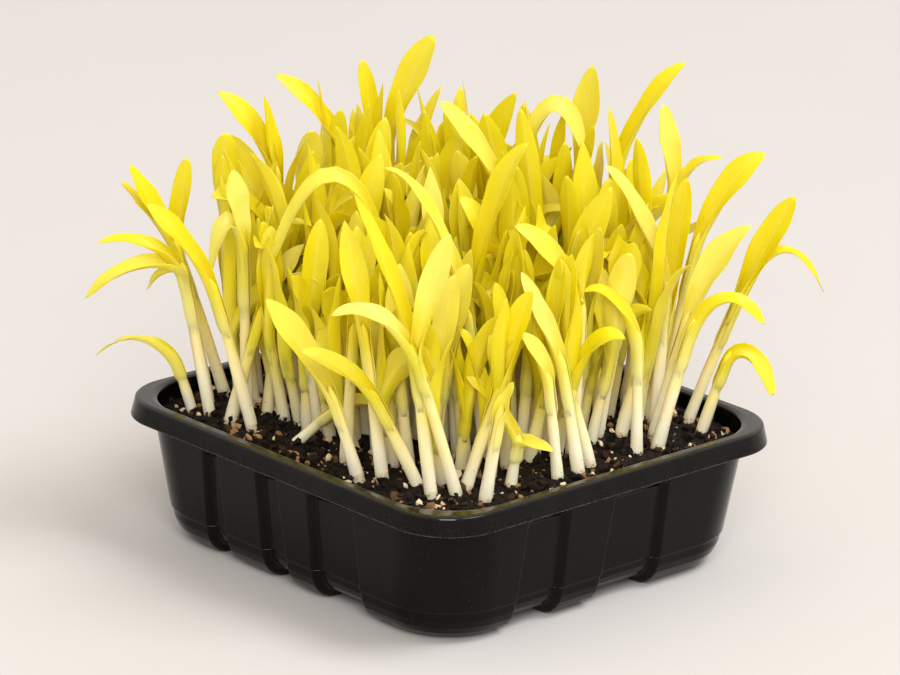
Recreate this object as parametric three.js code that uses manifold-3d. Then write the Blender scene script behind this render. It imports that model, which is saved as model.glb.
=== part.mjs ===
// A tray of corn microgreens: a black moulded tray, the peat that fills it, and pale yellow shoots
// that stand in the peat. Millimetres, +Z up, origin in the middle of the face the tray stands on.
import * as THREE from 'three';
import { mergeVertices } from 'three/addons/utils/BufferGeometryUtils.js';
import { ParametricGeometry } from 'three/addons/geometries/ParametricGeometry.js';
import Module from 'manifold-3d';

const wasm = await Module();
wasm.setup();

// ---- Driving dimensions ---------------------------------------------------------------------

const GAP = 0.3; // room kept between pieces that touch

// The tray, measured over its rim.
const HALF_X = 83.8;
const HALF_Y = 78.7;
const HEIGHT = 50;
const SHEET = 1.2;
const RIM_CORNER = 20;
const RIM_WIDTH = 4.4;
const RIM_ROUND = 0.8;
const SKIRT_DROP = 6.8;
const SKIRT_FLARE = 1.4;
const WALL_CORNER = 25;
const WALL_INSET = 2.6; // wall face in from the rim's edge, right under the rim
const WALL_DRAFT = 0.127; // how far the wall leans in for each millimetre down
const STEP_Z = 11.5; // a fine ledge runs round the wall here
const STEP_DEPTH = 0.5;
const FOOT_CORNER = 17;
const FOOT_INSET = 18.8;
const FOOT_WIDTH = 6;
const ARCH_LIFT = 2.4; // the underside is this far off the ground between its feet
const PAD_INSET = 54; // the middle foot, in from the rim's edge
const PAD_CORNER = 6;
const PAD_SQUEEZE = 0.42;

// Flutes are upright grooves in the walls. Each is as wide as `top` just under the rim and as
// `foot` at the ground, measured along its wall.
const FLUTE_DEPTH = 2.5;
const FLUTE_TOP_Z = 41;
const FLUTE_SLOPE = 2.4;
const FRONT_FLUTES = [
  { top: [-40, -32], foot: [-42, -31] },
  { top: [-13, -2], foot: [-13, 0] },
  { top: [13, 36], foot: [12, 37] },
];
const SIDE_FLUTES = [
  { top: [-37, -18], foot: [-39, -17] },
  { top: [2, 27], foot: [-1, 27] },
];
const CORNER_STEPS = 6;

// The peat, nearly level with the rim, lower in the two corners along the x = y diagonal.
const PEAT_LEVEL = 47.2;
const PEAT_EDGE_DIP = 1.6;
const PEAT_CORNER_DIP = 3.6;
const PEAT_RINGS = [0.45, 0.8, 1]; // shares of the way from the middle to the edge

// A shoot: its stem narrows from the ground to the collar, where the leaves part from it.
const STEM_RADIUS = 2.25;
const COLLAR_RADIUS = 1.7;
const ROOT_DEPTH = 8;
const STEM_SIDES = 6;
const STEM_STOPS = [0, 0.3, 0.65, 1];
const STEM_BEND = 0.45; // share of its lean that a stem has made by half its height
const LEAF_START = 0.9; // way along the stem where its leaves begin
const LEAF_THICKNESS = 1.1;
const LEAF_STOPS = [[0.08, 0.45], [0.34, 0.92], [0.62, 1], [0.87, 0.72]]; // [way along, share of width]
const LEAF_CHANNEL = 0.28; // depth of the leaf's channel, as a share of its half width
const SHOOT_COUNT = 58;
const FIELD_X = 69; // half sizes of the sown ground
const FIELD_Y = 64;
const FIELD_CORNER = 22;
const STEM_SPACING = 9;
const STEM_ROOM = 2.4; // room that a stem and a leaf keep round their middle lines
const LEAF_ROOM = 1.6;
const SOCKET_HEIGHT = 14; // height of the stretch of stem that its socket in the peat follows
const SOCKET_GAP = 0.45;

// Ranges that the sown shoots are spread over.
const SPREAD = 1.1; // stems lean outward, so that the tops are this much wider than the field
const SWAY = 9;
const STEM_RISE = [46, 64];
const LEAF_REACH = [5, 24];
const LEAF_RISE = [28, 44];
const LEAF_WIDTH = [7.5, 10];
const LEAF_ARCH = [1, 5];
const LEAF_TURN = 70;
const DROOP = 0.9; // height that a leaf loses for each millimetre that it reaches out
const ONE_LEAF_SHARE = 0.3;
const LEAF_STRAY = 57; // how far a second leaf may be from opposite the first, in degrees
const ROUND = 360;
const GOLDEN_ANGLE = (ROUND / 2) * (3 - Math.sqrt(5));
const ATTEMPTS = 20;

// Shoots with a place of their own. Each row has a name, a place on the peat, the stem's height,
// lean and bearing, and then the leaves: reach and rise from the collar, bearing, width, how far
// the back arches over the straight line from collar to tip, and how many degrees the face is
// turned about that line. A bearing is in degrees, from +X toward +Y.
const PLACED_SHOOTS = [
  ['low_left', [-62, -58], [18, 8, 225], [27, 1, 230, 3.5, 7, 0]],
  ['twin_left', [-54, -58], [52, 11, 230], [29, 8, 225, 6, 5, -10], [33, -9, 240, 8.5, 6, -25],
    [14, -10, 200, 6, 3, -20]],
  ['lean_left', [-32, -57], [50, 16, 230], [22, 29, 235, 8, 3, -35]],
  ['far_left', [-64, -50], [55, 13, 225], [16, 29, 230, 8, 0, -45], [19, 22, 220, 5, 1, -20]],
  ['upright_left', [-66, -40], [53, 20, 225], [4, 31, 45, 7, 0, 60]],
  ['upright_second', [-66, -28], [60, 12, 225], [3, 31, 315, 9, 1, 20]],
  ['back_left', [-66, -14], [72, 5, 225], [21, 29, 225, 8, 5, -40], [5, 28, 225, 6, 0, -50]],
  ['arch_back', [-60, 8], [76, 2, 225], [25, 28, 225, 6.5, 5, -30]],
  ['pointed_back', [-60, 26], [79, 6, 225], [5, 28, 225, 6.5, 1, -60]],
  ['tallest', [-66, 46], [73, 13, 225], [16, 38, 45, 11, 3, 70]],
  ['pale_back', [8, 26], [72, 7, 215], [23, 34, 225, 8, 4, -30]],
  ['crown', [-22, 62], [72, 13, 50], [3, 36, 45, 11, 1, 65]],
  ['feather', [-4, 62], [73, 20, 95], [22, 36, 50, 6.5, 6, 35]],
  ['back_right', [20, 62], [71, 19, 80], [5, 30, 225, 8, 1, -55], [16, 12, 40, 6, 4, 10]],
  ['broad_right', [38, 60], [60, 13, 60], [22, 32, 45, 9.5, 6, 50]],
  ['edge_broad', [49, 62], [42, 18, 55], [18, 38, 45, 10.5, 2, 60], [29, 4, 50, 5, 17, 25]],
  ['low_right', [60, 58], [26, 10, 50], [16, -12, 45, 6.5, 8, 35]],
  ['flat_tip', [54, 42], [40, 11, 45], [21, 35, 45, 12, 6, 55]],
  ['hook_right', [64, 34], [42, 12, 55], [24, 2, 45, 6, 10, 20]],
  ['bent_back', [-14, 38], [77, 4, 45], [22, 5, 45, 7, 21, 35]],
  ['bright_middle', [42, -20], [50, 8, 225], [29, 50, 225, 7, 13, -30]],
  ['thin_arch', [-7, -38], [45, 5, 225], [17, 10, 225, 5, 4, -10]],
  ['lean_right', [-46, -60], [39, 12, 45], [14, 25, 45, 7.5, 2, 45]],
  ['big_arch', [-2, -26], [63, 2, 225], [38, -6, 230, 8.5, 29, -20]],
  ['folded', [-46, -50], [60, 4, 290], [11, -8, 240, 9, 13, -30], [4, 27, 225, 8, 1, -40]],
  ['pale_front', [54, 6], [51, 2, 45], [23, 28, 225, 7.5, 6, -35]],
  ['broad_middle', [20, -14], [53, 4, 50], [17, 51, 45, 10, 11, 45]],
  ['broad_upright', [38, 14], [48, 2, 50], [14, 40, 45, 10.5, 3, 60]],
  ['pale_right', [48, 50], [48, 3, 45], [22, 43, 225, 8, 7, -30]],
  ['right_arch', [66, 25], [39, 1, 225], [19, 17, 225, 6, 8, -10]],
  ['right_broad', [66, 6], [38, 13, 225], [3, 35, 45, 11, 1, 65]],
  ['right_lean', [69, -3], [38, 8, 225], [14, 31, 225, 6.5, 1, -40]],
  ['right_second', [68, -12], [34, 5, 225], [10, 16, 225, 6.5, 3, -40]],
  ['front_short', [67, -46], [29, 5, 45], [4, 12, 45, 5, 0, 50]],
  ['sprout', [62, -30], [15, 3, 45], [13, -1, 20, 3.5, 1, 25], [18, 21, 215, 4.5, 3, -20]],
  ['front_right', [54, -44], [34, 12, 50], [10, 34, 45, 9, 4, 60]],
  ['front_arch', [60, -48], [50, 18, 246], [27, 13, 232, 8.5, 7, -20], [11, 40, 60, 9.5, 2, 65]],
  ['front_upright', [56, -57], [49, 9, 200], [20, 52, 225, 7, 4, -30]],
  ['front_lean', [48, -52], [32, 19, 235], [24, 16, 235, 6.5, 3, -35]],
  ['second_upright', [30, -22], [34, 4, 225], [6, 37, 45, 8, 1, 50]],
  ['broad_left', [26, -61], [28, 11, 235], [22, 33, 230, 10, 2, -60]],
  ['crossing', [-18, -62], [15, 22, 30], [25, 0, 30, 4, 4, 30]],
  ['front_second', [32, -57], [50, 8, 225], [7, 38, 225, 9, 1, -60]],
  ['front_third', [12, -57], [46, 2, 45], [6, 36, 45, 8, 1, 60]],
];

// ---- Solids ---------------------------------------------------------------------------------

const mix = (a, b, t) => a + (b - a) * t;
const clamp = (x, low, high) => Math.min(Math.max(x, low), high);
const smooth = (t) => t * t * (3 - 2 * t);

// One closed solid from a surface of two parameters: equal corners are merged, the triangles that
// shrink to a line at a pole are dropped, and the faces are turned outward.
function solidOf(place, around, along) {
  const surface = new ParametricGeometry(place, around, along);
  surface.deleteAttribute('normal');
  surface.deleteAttribute('uv');
  const merged = mergeVertices(surface, 1e-4);
  const corners = merged.index.array;
  const point = (i) => new THREE.Vector3().fromBufferAttribute(merged.attributes.position, i);
  const kept = [];
  let volume = 0;
  for (let i = 0; i < corners.length; i += 3) {
    const [a, b, c] = corners.slice(i, i + 3);
    if (a === b || b === c || c === a) continue;
    kept.push([a, b, c]);
    volume += point(a).dot(point(b).cross(point(c)));
  }
  const outward = ([a, b, c]) => (volume > 0 ? [a, b, c] : [a, c, b]);
  const triVerts = new Uint32Array(kept.flatMap(outward));
  const vertProperties = new Float32Array(merged.attributes.position.array);
  return new wasm.Manifold(new wasm.Mesh({ numProp: 3, vertProperties, triVerts }));
}

function meshOf(solid, name, material) {
  const { vertProperties, triVerts } = solid.getMesh();
  const geometry = new THREE.BufferGeometry();
  geometry.setAttribute('position', new THREE.BufferAttribute(vertProperties, 3));
  geometry.setIndex(new THREE.BufferAttribute(triVerts, 1));
  geometry.computeVertexNormals();
  const mesh = new THREE.Mesh(geometry, material);
  mesh.name = name;
  return mesh;
}

// ---- Tray and peat --------------------------------------------------------------------------

// The stations round the tray: the four corners of every flute on a side, then the steps of the
// round corner that follows it. `turn` quarter turns bring the front side to its place.
function stationsRound() {
  const sides = [FRONT_FLUTES, SIDE_FLUTES, mirrored(FRONT_FLUTES), mirrored(SIDE_FLUTES)];
  return sides.flatMap((flutes, turn) => {
    const straight = flutes.flatMap(({ top, foot }) => [
      { turn, top: top[0], foot: foot[0], deep: 0 },
      { turn, top: top[0] + FLUTE_SLOPE, foot: foot[0] + FLUTE_SLOPE, deep: 1 },
      { turn, top: top[1] - FLUTE_SLOPE, foot: foot[1] - FLUTE_SLOPE, deep: 1 },
      { turn, top: top[1], foot: foot[1], deep: 0 },
    ]);
    const corner = [];
    for (let i = 0; i <= CORNER_STEPS; i++) {
      corner.push({ turn, angle: (Math.PI / 2) * (i / CORNER_STEPS) });
    }
    return [...straight, ...corner];
  });
}

function mirrored(flutes) {
  const flipped = ([from, to]) => [-to, -from];
  return flutes.map(({ top, foot }) => ({ top: flipped(top), foot: flipped(foot) })).reverse();
}

const STATIONS = stationsRound();

// Where a station stands on one ring of a wall. A ring is a rounded rectangle `inset` from the
// rim's edge. At its flutes it goes `flute` further in and `lift` higher, and `squeeze` draws the
// stations together where the ring is too small for the flutes' true places. A ring with no z
// lies on the peat.
function onRing(station, ring, target) {
  const { inset, corner, z, flute = 0, lift = 0, squeeze = 1 } = ring;
  const sideways = station.turn % 2 === 1;
  const reach = (sideways ? HALF_Y : HALF_X) - inset;
  const out = (sideways ? HALF_X : HALF_Y) - inset;
  const deep = station.deep ?? 0;
  let along = reach - corner;
  let away = out - flute * deep;
  if (station.angle === undefined) {
    along = mix(station.foot, station.top, clamp((z ?? HEIGHT) / FLUTE_TOP_Z, 0, 1)) * squeeze;
  } else {
    along += corner * Math.sin(station.angle);
    away += corner * (Math.cos(station.angle) - 1);
  }
  const [x, y] = [[along, -away], [away, along], [-along, away], [-away, -along]][station.turn];
  return target.set(x, y, z === undefined ? peatHeight(x, y) : z + lift * deep);
}

// The closed solid through `rings`, from the pole at height `from` to the pole at height `to`.
function sweep(rings, from, to) {
  const rows = rings.length + 1;
  const place = (u, v, target) => {
    const row = Math.round(v * rows);
    if (row === 0) return target.set(0, 0, from);
    if (row === rows) return target.set(0, 0, to);
    const station = STATIONS[Math.round(u * STATIONS.length) % STATIONS.length];
    return onRing(station, rings[row - 1], target);
  };
  return solidOf(place, STATIONS.length, rows);
}

// The wall's outer face at height z, moved in by `depth`.
const wallInset = (z, depth) => WALL_INSET + (HEIGHT - SHEET - z) * WALL_DRAFT + depth;
function wallRing(z, depth, flute) {
  return { z, inset: wallInset(z, depth), corner: WALL_CORNER - depth, flute };
}

// The rings that round the wall's foot down to the underside, for a face moved in by `depth`.
function footRings(depth, angles) {
  const low = wallInset(STEP_Z, depth) + STEP_DEPTH;
  return angles.map(THREE.MathUtils.degToRad).map((angle) => ({
    z: mix(STEP_Z, depth, Math.sin(angle)),
    inset: mix(low, FOOT_INSET, 1 - Math.cos(angle)),
    corner: mix(WALL_CORNER, FOOT_CORNER, 1 - Math.cos(angle)) - depth,
    flute: FLUTE_DEPTH,
    lift: ARCH_LIFT * Math.sin(angle),
  }));
}

function makeTray() {
  const rimUnder = HEIGHT - SHEET;
  const skirtFoot = HEIGHT - SKIRT_DROP;
  const footInner = FOOT_INSET + FOOT_WIDTH;
  const foot = { corner: FOOT_CORNER - FOOT_WIDTH };
  const pad = { corner: PAD_CORNER, squeeze: PAD_SQUEEZE };
  const bottom = [
    { z: 0, inset: PAD_INSET, ...pad },
    { z: ARCH_LIFT, inset: PAD_INSET - ARCH_LIFT, ...pad },
    { z: ARCH_LIFT, inset: footInner + ARCH_LIFT, ...foot },
    { z: 0, inset: footInner, lift: ARCH_LIFT, ...foot },
  ];
  const outside = [
    ...footRings(0, [90, 60, 30, 0]),
    wallRing(STEP_Z + STEP_DEPTH, 0, FLUTE_DEPTH),
    wallRing(FLUTE_TOP_Z - FLUTE_SLOPE, 0, FLUTE_DEPTH),
    wallRing(FLUTE_TOP_Z, 0, 0),
    wallRing(rimUnder, 0, 0),
  ];
  const rim = [
    { z: rimUnder, inset: SHEET, corner: RIM_CORNER - SHEET },
    { z: skirtFoot, inset: SHEET - SKIRT_FLARE, corner: RIM_CORNER + SKIRT_FLARE - SHEET },
    { z: skirtFoot, inset: -SKIRT_FLARE, corner: RIM_CORNER + SKIRT_FLARE },
    { z: HEIGHT - RIM_ROUND, inset: 0, corner: RIM_CORNER },
    { z: HEIGHT, inset: RIM_ROUND, corner: RIM_CORNER - RIM_ROUND },
    { z: HEIGHT, inset: RIM_WIDTH - RIM_ROUND, corner: WALL_CORNER - SHEET - RIM_ROUND },
    { z: HEIGHT - RIM_ROUND, inset: RIM_WIDTH, corner: WALL_CORNER - SHEET },
  ];
  const inside = [
    wallRing(FLUTE_TOP_Z, SHEET, 0),
    wallRing(FLUTE_TOP_Z - FLUTE_SLOPE, SHEET, FLUTE_DEPTH),
    ...footRings(SHEET, [0, 30, 60, 90]),
    { z: SHEET, inset: footInner - SHEET / 2, lift: ARCH_LIFT, ...foot },
    { z: SHEET + ARCH_LIFT, inset: footInner + ARCH_LIFT - SHEET / 2, ...foot },
    { z: SHEET + ARCH_LIFT, inset: PAD_INSET - ARCH_LIFT + SHEET / 2, ...pad },
    { z: SHEET, inset: PAD_INSET + SHEET / 2, ...pad },
  ];
  return sweep([...bottom, ...outside, ...rim, ...inside], 0, SHEET);
}

// Height of the peat at a place: level in the middle, a little lower at the edge, and lowest in
// the two corners where x and y have the same sign.
function peatHeight(x, y) {
  const edge = Math.max(Math.abs(x) / HALF_X, Math.abs(y) / HALF_Y);
  const corner = clamp((x / HALF_X) * (y / HALF_Y), 0, 1);
  return PEAT_LEVEL - PEAT_EDGE_DIP * edge ** 4 - PEAT_CORNER_DIP * smooth(corner);
}

// The peat follows the tray's inner face, and has a socket for the buried end of every stem.
function makePeat(shoots) {
  const depth = SHEET + GAP;
  const edge = wallRing(FLUTE_TOP_Z, depth, 0);
  const surface = PEAT_RINGS.map((share) => ({
    inset: mix(HALF_Y, edge.inset, share),
    corner: edge.corner * share,
    squeeze: share,
  }));
  const floor = ARCH_LIFT + SHEET + GAP;
  const rings = [
    ...surface,
    edge,
    wallRing(FLUTE_TOP_Z - FLUTE_SLOPE, depth, FLUTE_DEPTH),
    ...footRings(depth, [0, 30]),
    { z: floor, inset: FOOT_INSET + ARCH_LIFT + GAP, corner: FOOT_CORNER - ARCH_LIFT },
  ];
  const block = sweep(rings, peatHeight(0, 0), floor);
  const socket = (each) => stemSolid(each, SOCKET_GAP, SOCKET_HEIGHT / stemHeight(each));
  return shoots.reduce((peat, each) => peat.subtract(socket(each)), block);
}

// ---- Shoots ---------------------------------------------------------------------------------

const point = (place) => new THREE.Vector3(...place);

// The middle line of a stem, from its buried end to the collar: upright at first, then leaning.
function stemCurve({ base, collar }) {
  const root = point([...base, peatHeight(...base) - ROOT_DEPTH]);
  const top = point(collar);
  const bend = root.clone().lerp(top, STEM_BEND).setZ((root.z + top.z) / 2);
  return new THREE.QuadraticBezierCurve3(root, bend, top);
}

function stemHeight(each) {
  const { v0, v2 } = stemCurve(each);
  return v2.z - v0.z;
}

// The middle line of a leaf: its middle stands `arch` above the straight line to the tip.
function leafCurve({ collar }, { tip, arch }) {
  const bend = point(collar).add(point(tip)).multiplyScalar(0.5);
  bend.z += 2 * arch;
  return new THREE.QuadraticBezierCurve3(point(collar), bend, point(tip));
}

// A stem, or the socket that it stands in: `growth` is the room round it and under it, and
// `reach` is how far along the stem it goes.
function stemSolid(each, growth = 0, reach = 1) {
  const curve = stemCurve(each);
  const under = growth / stemHeight(each);
  const rows = STEM_STOPS.length + 1;
  return solidOf((u, v, target) => {
    const row = Math.round(v * rows);
    const way = row < 2 ? -under : STEM_STOPS[Math.min(row, rows - 1) - 1] * reach;
    const centre = curve.getPoint(way);
    if (row === 0 || row === rows) return target.copy(centre);
    const radius = mix(STEM_RADIUS, COLLAR_RADIUS, way) + growth / Math.cos(Math.PI / STEM_SIDES);
    const angle = 2 * Math.PI * u;
    return target.set(centre.x + radius * Math.cos(angle), centre.y + radius * Math.sin(angle), centre.z);
  }, STEM_SIDES, rows);
}

// The direction across a leaf and the one out of its upper face, at a way along its middle line.
function leafAxes(curve, turn, way) {
  const tangent = curve.getTangent(way);
  const heading = curve.v2.clone().sub(curve.v0).setZ(0).normalize();
  const level = new THREE.Vector3(-heading.y, heading.x, 0);
  const face = tangent.clone().cross(level).normalize();
  const angle = THREE.MathUtils.degToRad(turn);
  const across = level.clone().multiplyScalar(Math.cos(angle)).addScaledVector(face, Math.sin(angle));
  return { across, up: tangent.clone().cross(across).normalize() };
}

// A leaf is a four-sided bar, wide and thin, hollowed along its upper face and pointed at both
// ends. It starts inside the stem, below the collar.
function leafSolid(each, blade) {
  const curve = leafCurve(each, blade);
  const start = stemCurve(each).getPoint(LEAF_START);
  const rows = LEAF_STOPS.length + 1;
  const corners = [[-1, 0], [0, -0.5], [1, 0], [0, 0.5]];
  return solidOf((u, v, target) => {
    const row = Math.round(v * rows);
    if (row === 0) return target.copy(start);
    if (row === rows) return target.copy(curve.v2);
    const [way, share] = LEAF_STOPS[row - 1];
    const half = (blade.width / 2) * share;
    const { across, up } = leafAxes(curve, blade.turn, way);
    const [side, face] = corners[Math.round(u * corners.length) % corners.length];
    const hollow = half * LEAF_CHANNEL * (Math.abs(side) - 0.5);
    return target.copy(curve.getPoint(way))
      .addScaledVector(across, half * side)
      .addScaledVector(up, face * LEAF_THICKNESS + hollow);
  }, corners.length, rows);
}

function makeShoot(each) {
  return each.leaves.reduce((solid, blade) => solid.add(leafSolid(each, blade)), stemSolid(each));
}

// Points on a shoot, each with the room that it needs, to tell whether two shoots are clear.
function outlinePoints(each) {
  const stem = stemCurve(each);
  const points = [];
  for (let i = 2; i <= 14; i++) points.push([stem.getPoint(i / 14), STEM_ROOM]);
  for (const blade of each.leaves) {
    const curve = leafCurve(each, blade);
    for (let i = 1; i <= 10; i++) {
      const { across } = leafAxes(curve, blade.turn, i / 10);
      for (const side of [-0.4, 0, 0.4]) {
        points.push([curve.getPoint(i / 10).addScaledVector(across, side * blade.width), LEAF_ROOM]);
      }
    }
  }
  return points;
}

const apart = (one, others) => one.every(([p, a]) => others.every(([q, b]) => p.distanceTo(q) > a + b));

// The share of 1 that the nth sown shoot has for its kth feature. Multiples of an irrational
// number spread evenly and never repeat.
const PLASTIC = 1.324717957244746; // the plastic number, the root of x^3 = x + 1
const PRIMES = [2, 3, 5, 7, 11, 13, 17, 19, 23, 29];
const IRRATIONALS = [1 / PLASTIC, 1 / PLASTIC ** 2, ...PRIMES.map(Math.sqrt)];
const share = (n, k) => (n * IRRATIONALS[k]) % 1;

// The place that lies a distance off toward a bearing, and so much higher.
function off([x, y, z], distance, bearing, rise) {
  const angle = THREE.MathUtils.degToRad(bearing);
  return [x + distance * Math.cos(angle), y + distance * Math.sin(angle), z + rise];
}

// The shoot of a row of placed shoots, with its collar and its leaves' tips worked out.
function placedShoot([name, base, [height, lean, bearing], ...rows]) {
  const collar = off([...base, peatHeight(...base)], lean, bearing, height);
  const leaves = rows.map(([reach, rise, toward, width, arch, turn]) => {
    return { tip: off(collar, reach, toward, rise), width, arch, turn };
  });
  return { name, base, collar, leaves };
}

// The nth sown shoot, with its leaves headed another way at each new attempt.
function sownShoot(n, attempt) {
  const base = [FIELD_X * (2 * share(n, 0) - 1), FIELD_Y * (2 * share(n, 1) - 1)];
  const over = [base[0] * SPREAD, base[1] * SPREAD, peatHeight(...base)];
  const collar = off(over, SWAY * share(n, 3), ROUND * share(n, 2), mix(...STEM_RISE, share(n, 4)));
  const heading = ROUND * share(n, 5) + attempt * GOLDEN_ANGLE;
  const leaves = [];
  for (let i = 0; i < (share(n, 6) < ONE_LEAF_SHARE ? 1 : 2); i++) {
    const toward = heading + i * (ROUND / 2 + LEAF_STRAY * (share(n, 7) - 0.5));
    const reach = mix(...LEAF_REACH, share(n, 8 + i) ** 2);
    const rise = mix(...LEAF_RISE, share(n, 9 - i)) - reach * DROOP;
    const width = mix(...LEAF_WIDTH, share(n, 10));
    const arch = mix(...LEAF_ARCH, share(n, 11)) + (reach * DROOP) / 4;
    const turn = LEAF_TURN * (2 * share(n, 7 + i) - 1);
    leaves.push({ tip: off(collar, reach, toward, rise), width, arch, turn });
  }
  return { name: `sown_${String(n).padStart(3, '0')}`, base, collar, leaves };
}

const inField = (x, y) => {
  const beyondX = Math.max(Math.abs(x) - FIELD_X + FIELD_CORNER, 0);
  const beyondY = Math.max(Math.abs(y) - FIELD_Y + FIELD_CORNER, 0);
  return Math.hypot(beyondX, beyondY) < FIELD_CORNER;
};

// All the shoots: the placed ones, then sown ones that stand clear of every shoot before them.
function plantShoots() {
  const shoots = PLACED_SHOOTS.map(placedShoot);
  const taken = shoots.flatMap(outlinePoints);
  for (let n = 1; shoots.length < SHOOT_COUNT; n++) {
    const { base } = sownShoot(n, 0);
    const [x, y] = base;
    const crowded = shoots.some((each) => Math.hypot(each.base[0] - x, each.base[1] - y) < STEM_SPACING);
    if (crowded || !inField(x, y)) continue;
    for (let attempt = 0; attempt < ATTEMPTS; attempt++) {
      const each = sownShoot(n, attempt);
      const points = outlinePoints(each);
      if (!apart(points, taken)) continue;
      shoots.push(each);
      taken.push(...points);
      break;
    }
  }
  return shoots;
}

// ---- The whole ------------------------------------------------------------------------------

const black = new THREE.MeshStandardMaterial({ color: 0x1d1e1f, roughness: 0.42, metalness: 0 });
const earth = new THREE.MeshStandardMaterial({ color: 0x2a1d14, roughness: 0.95, metalness: 0 });
const growth = new THREE.MeshStandardMaterial({ color: 0xe9d53a, roughness: 0.5, metalness: 0 });

const shoots = plantShoots();
const group = new THREE.Group();
group.add(meshOf(makeTray(), 'tray', black));
group.add(meshOf(makePeat(shoots), 'growing_medium', earth));
for (const each of shoots) group.add(meshOf(makeShoot(each), `shoot_${each.name}`, growth.clone()));

export default group;
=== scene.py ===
"""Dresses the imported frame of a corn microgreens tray: black tray, dark peat and pale yellow shoots.

Lengths are in millimetres, as in the part's own source, and become metres when they enter a mesh.
X and Y run along the tray's walls, +Z is up, and the origin is under the tray's middle.
"""

import logging
import math
from collections.abc import Mapping, Sequence
from dataclasses import dataclass, field
from enum import Enum, IntEnum
from itertools import combinations

import bpy
import numpy as np
from mathutils import Matrix, Vector


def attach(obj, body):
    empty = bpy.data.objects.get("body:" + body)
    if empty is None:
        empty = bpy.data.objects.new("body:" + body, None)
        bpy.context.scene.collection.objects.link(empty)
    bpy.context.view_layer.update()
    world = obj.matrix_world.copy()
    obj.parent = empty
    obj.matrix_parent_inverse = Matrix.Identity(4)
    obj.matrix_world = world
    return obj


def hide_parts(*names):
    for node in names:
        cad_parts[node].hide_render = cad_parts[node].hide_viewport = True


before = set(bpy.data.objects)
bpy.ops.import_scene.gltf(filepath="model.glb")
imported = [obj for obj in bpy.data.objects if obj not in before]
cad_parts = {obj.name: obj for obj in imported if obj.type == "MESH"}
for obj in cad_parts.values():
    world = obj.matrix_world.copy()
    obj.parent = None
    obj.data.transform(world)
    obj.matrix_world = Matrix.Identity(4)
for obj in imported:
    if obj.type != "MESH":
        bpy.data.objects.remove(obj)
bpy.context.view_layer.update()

MM = 0.001
BODY = "root"
TURN = 2 * math.pi
ROUND = 360.0
GOLDEN_ANGLE = ROUND / 2 * (3 - math.sqrt(5))
PLASTIC = 1.324717957244746  # the plastic number, the root of x^3 = x + 1
PRIMES = (2, 3, 5, 7, 11, 13, 17, 19, 23, 29)
MOST_TRIES = 6000
FIRST_SEED = 1000
BATCH = 50

Place = tuple[float, float, float]
Colour = tuple[float, float, float]
Number = float | np.ndarray

log = logging.getLogger("corn_microgreens_tray")


class Slot(Enum):
    """The record's material slots."""

    TRAY = "tray_plastic"
    PEAT = "peat"
    SHOOTS = "shoots"


# ---- Small maths -----------------------------------------------------------------------------


def mix(low: Number, high: Number, share: Number) -> Number:
    """Returns the value that lies a share of the way from low to high."""
    return low + (high - low) * share


def smooth(share: Number) -> Number:
    """Returns 3s^2 - 2s^3 for s cut to 0..1: a step with level ends."""
    s = np.clip(share, 0.0, 1.0)
    return s * s * (3 - 2 * s)


def step_between(value: Number, low: float, high: float) -> Number:
    """Returns a smooth step of value, from 0 at low to 1 at high."""
    return smooth((value - low) / (high - low))


def bell(value: Number, width: float) -> Number:
    """Returns exp(-(value / width)^2), which is 1 at 0 and near 0 from two widths on."""
    return np.exp(-((value / width) ** 2))


def unit(vectors: np.ndarray) -> np.ndarray:
    """Returns vectors, each divided by its own length."""
    return vectors / np.maximum(np.linalg.norm(vectors, axis=-1, keepdims=True), 1e-9)


def bezier(start: np.ndarray, bend: np.ndarray, end: np.ndarray, ways: np.ndarray) -> np.ndarray:
    """Points of the curve (1-w)^2 start + 2w(1-w) bend + w^2 end.

    Args:
        start: where the curve starts.
        bend: the point that it bends towards.
        end: where it ends.
        ways: how far along each point is, from 0 to 1.

    Returns:
        One row for each way.
    """
    w = np.asarray(ways, float)[:, None]
    return (1 - w) ** 2 * start + 2 * w * (1 - w) * bend + w**2 * end


def lengths_along(line: np.ndarray) -> np.ndarray:
    """Returns how far along a line of points each of them lies."""
    return np.concatenate([[0], np.cumsum(np.linalg.norm(np.diff(line, axis=0), axis=1))])


def value_noise(x: np.ndarray, y: np.ndarray, pitch: float, seed: int) -> np.ndarray:
    """Smooth random heights from -1 to 1.

    Each corner of a square lattice has a random number, and a point blends its four corners by the
    smooth step of how far it is between them.

    Args:
        x: places along X.
        y: places along Y.
        pitch: the lattice's pitch, in the unit of x and y.
        seed: seed of the lattice's numbers.

    Returns:
        A height for each place.
    """
    cells = 512
    table = np.random.default_rng(seed).uniform(-1, 1, (cells, cells))
    u, v = x / pitch + cells / 2, y / pitch + cells / 2
    i, j = np.floor(u).astype(int), np.floor(v).astype(int)
    a, b = smooth(u - i), smooth(v - j)
    i0, i1, j0, j1 = i % cells, (i + 1) % cells, j % cells, (j + 1) % cells
    return mix(mix(table[i0, j0], table[i1, j0], a), mix(table[i0, j1], table[i1, j1], a), b)


def paint(red: float, green: float, blue: float) -> Colour:
    """Linear light for a display colour of 0..255: ((c + 0.055) / 1.055)^2.4, with a straight foot."""
    shares = (part / 255 for part in (red, green, blue))
    return tuple(c / 12.92 if c <= 0.04045 else ((c + 0.055) / 1.055) ** 2.4 for c in shares)


# ---- Meshes ----------------------------------------------------------------------------------


def stand(name: str, data: bpy.types.ID) -> bpy.types.Object:
    """Makes an object of a mesh, light or camera, and links it to the scene."""
    made = bpy.data.objects.new(name, data)
    bpy.context.scene.collection.objects.link(made)
    return made


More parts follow.
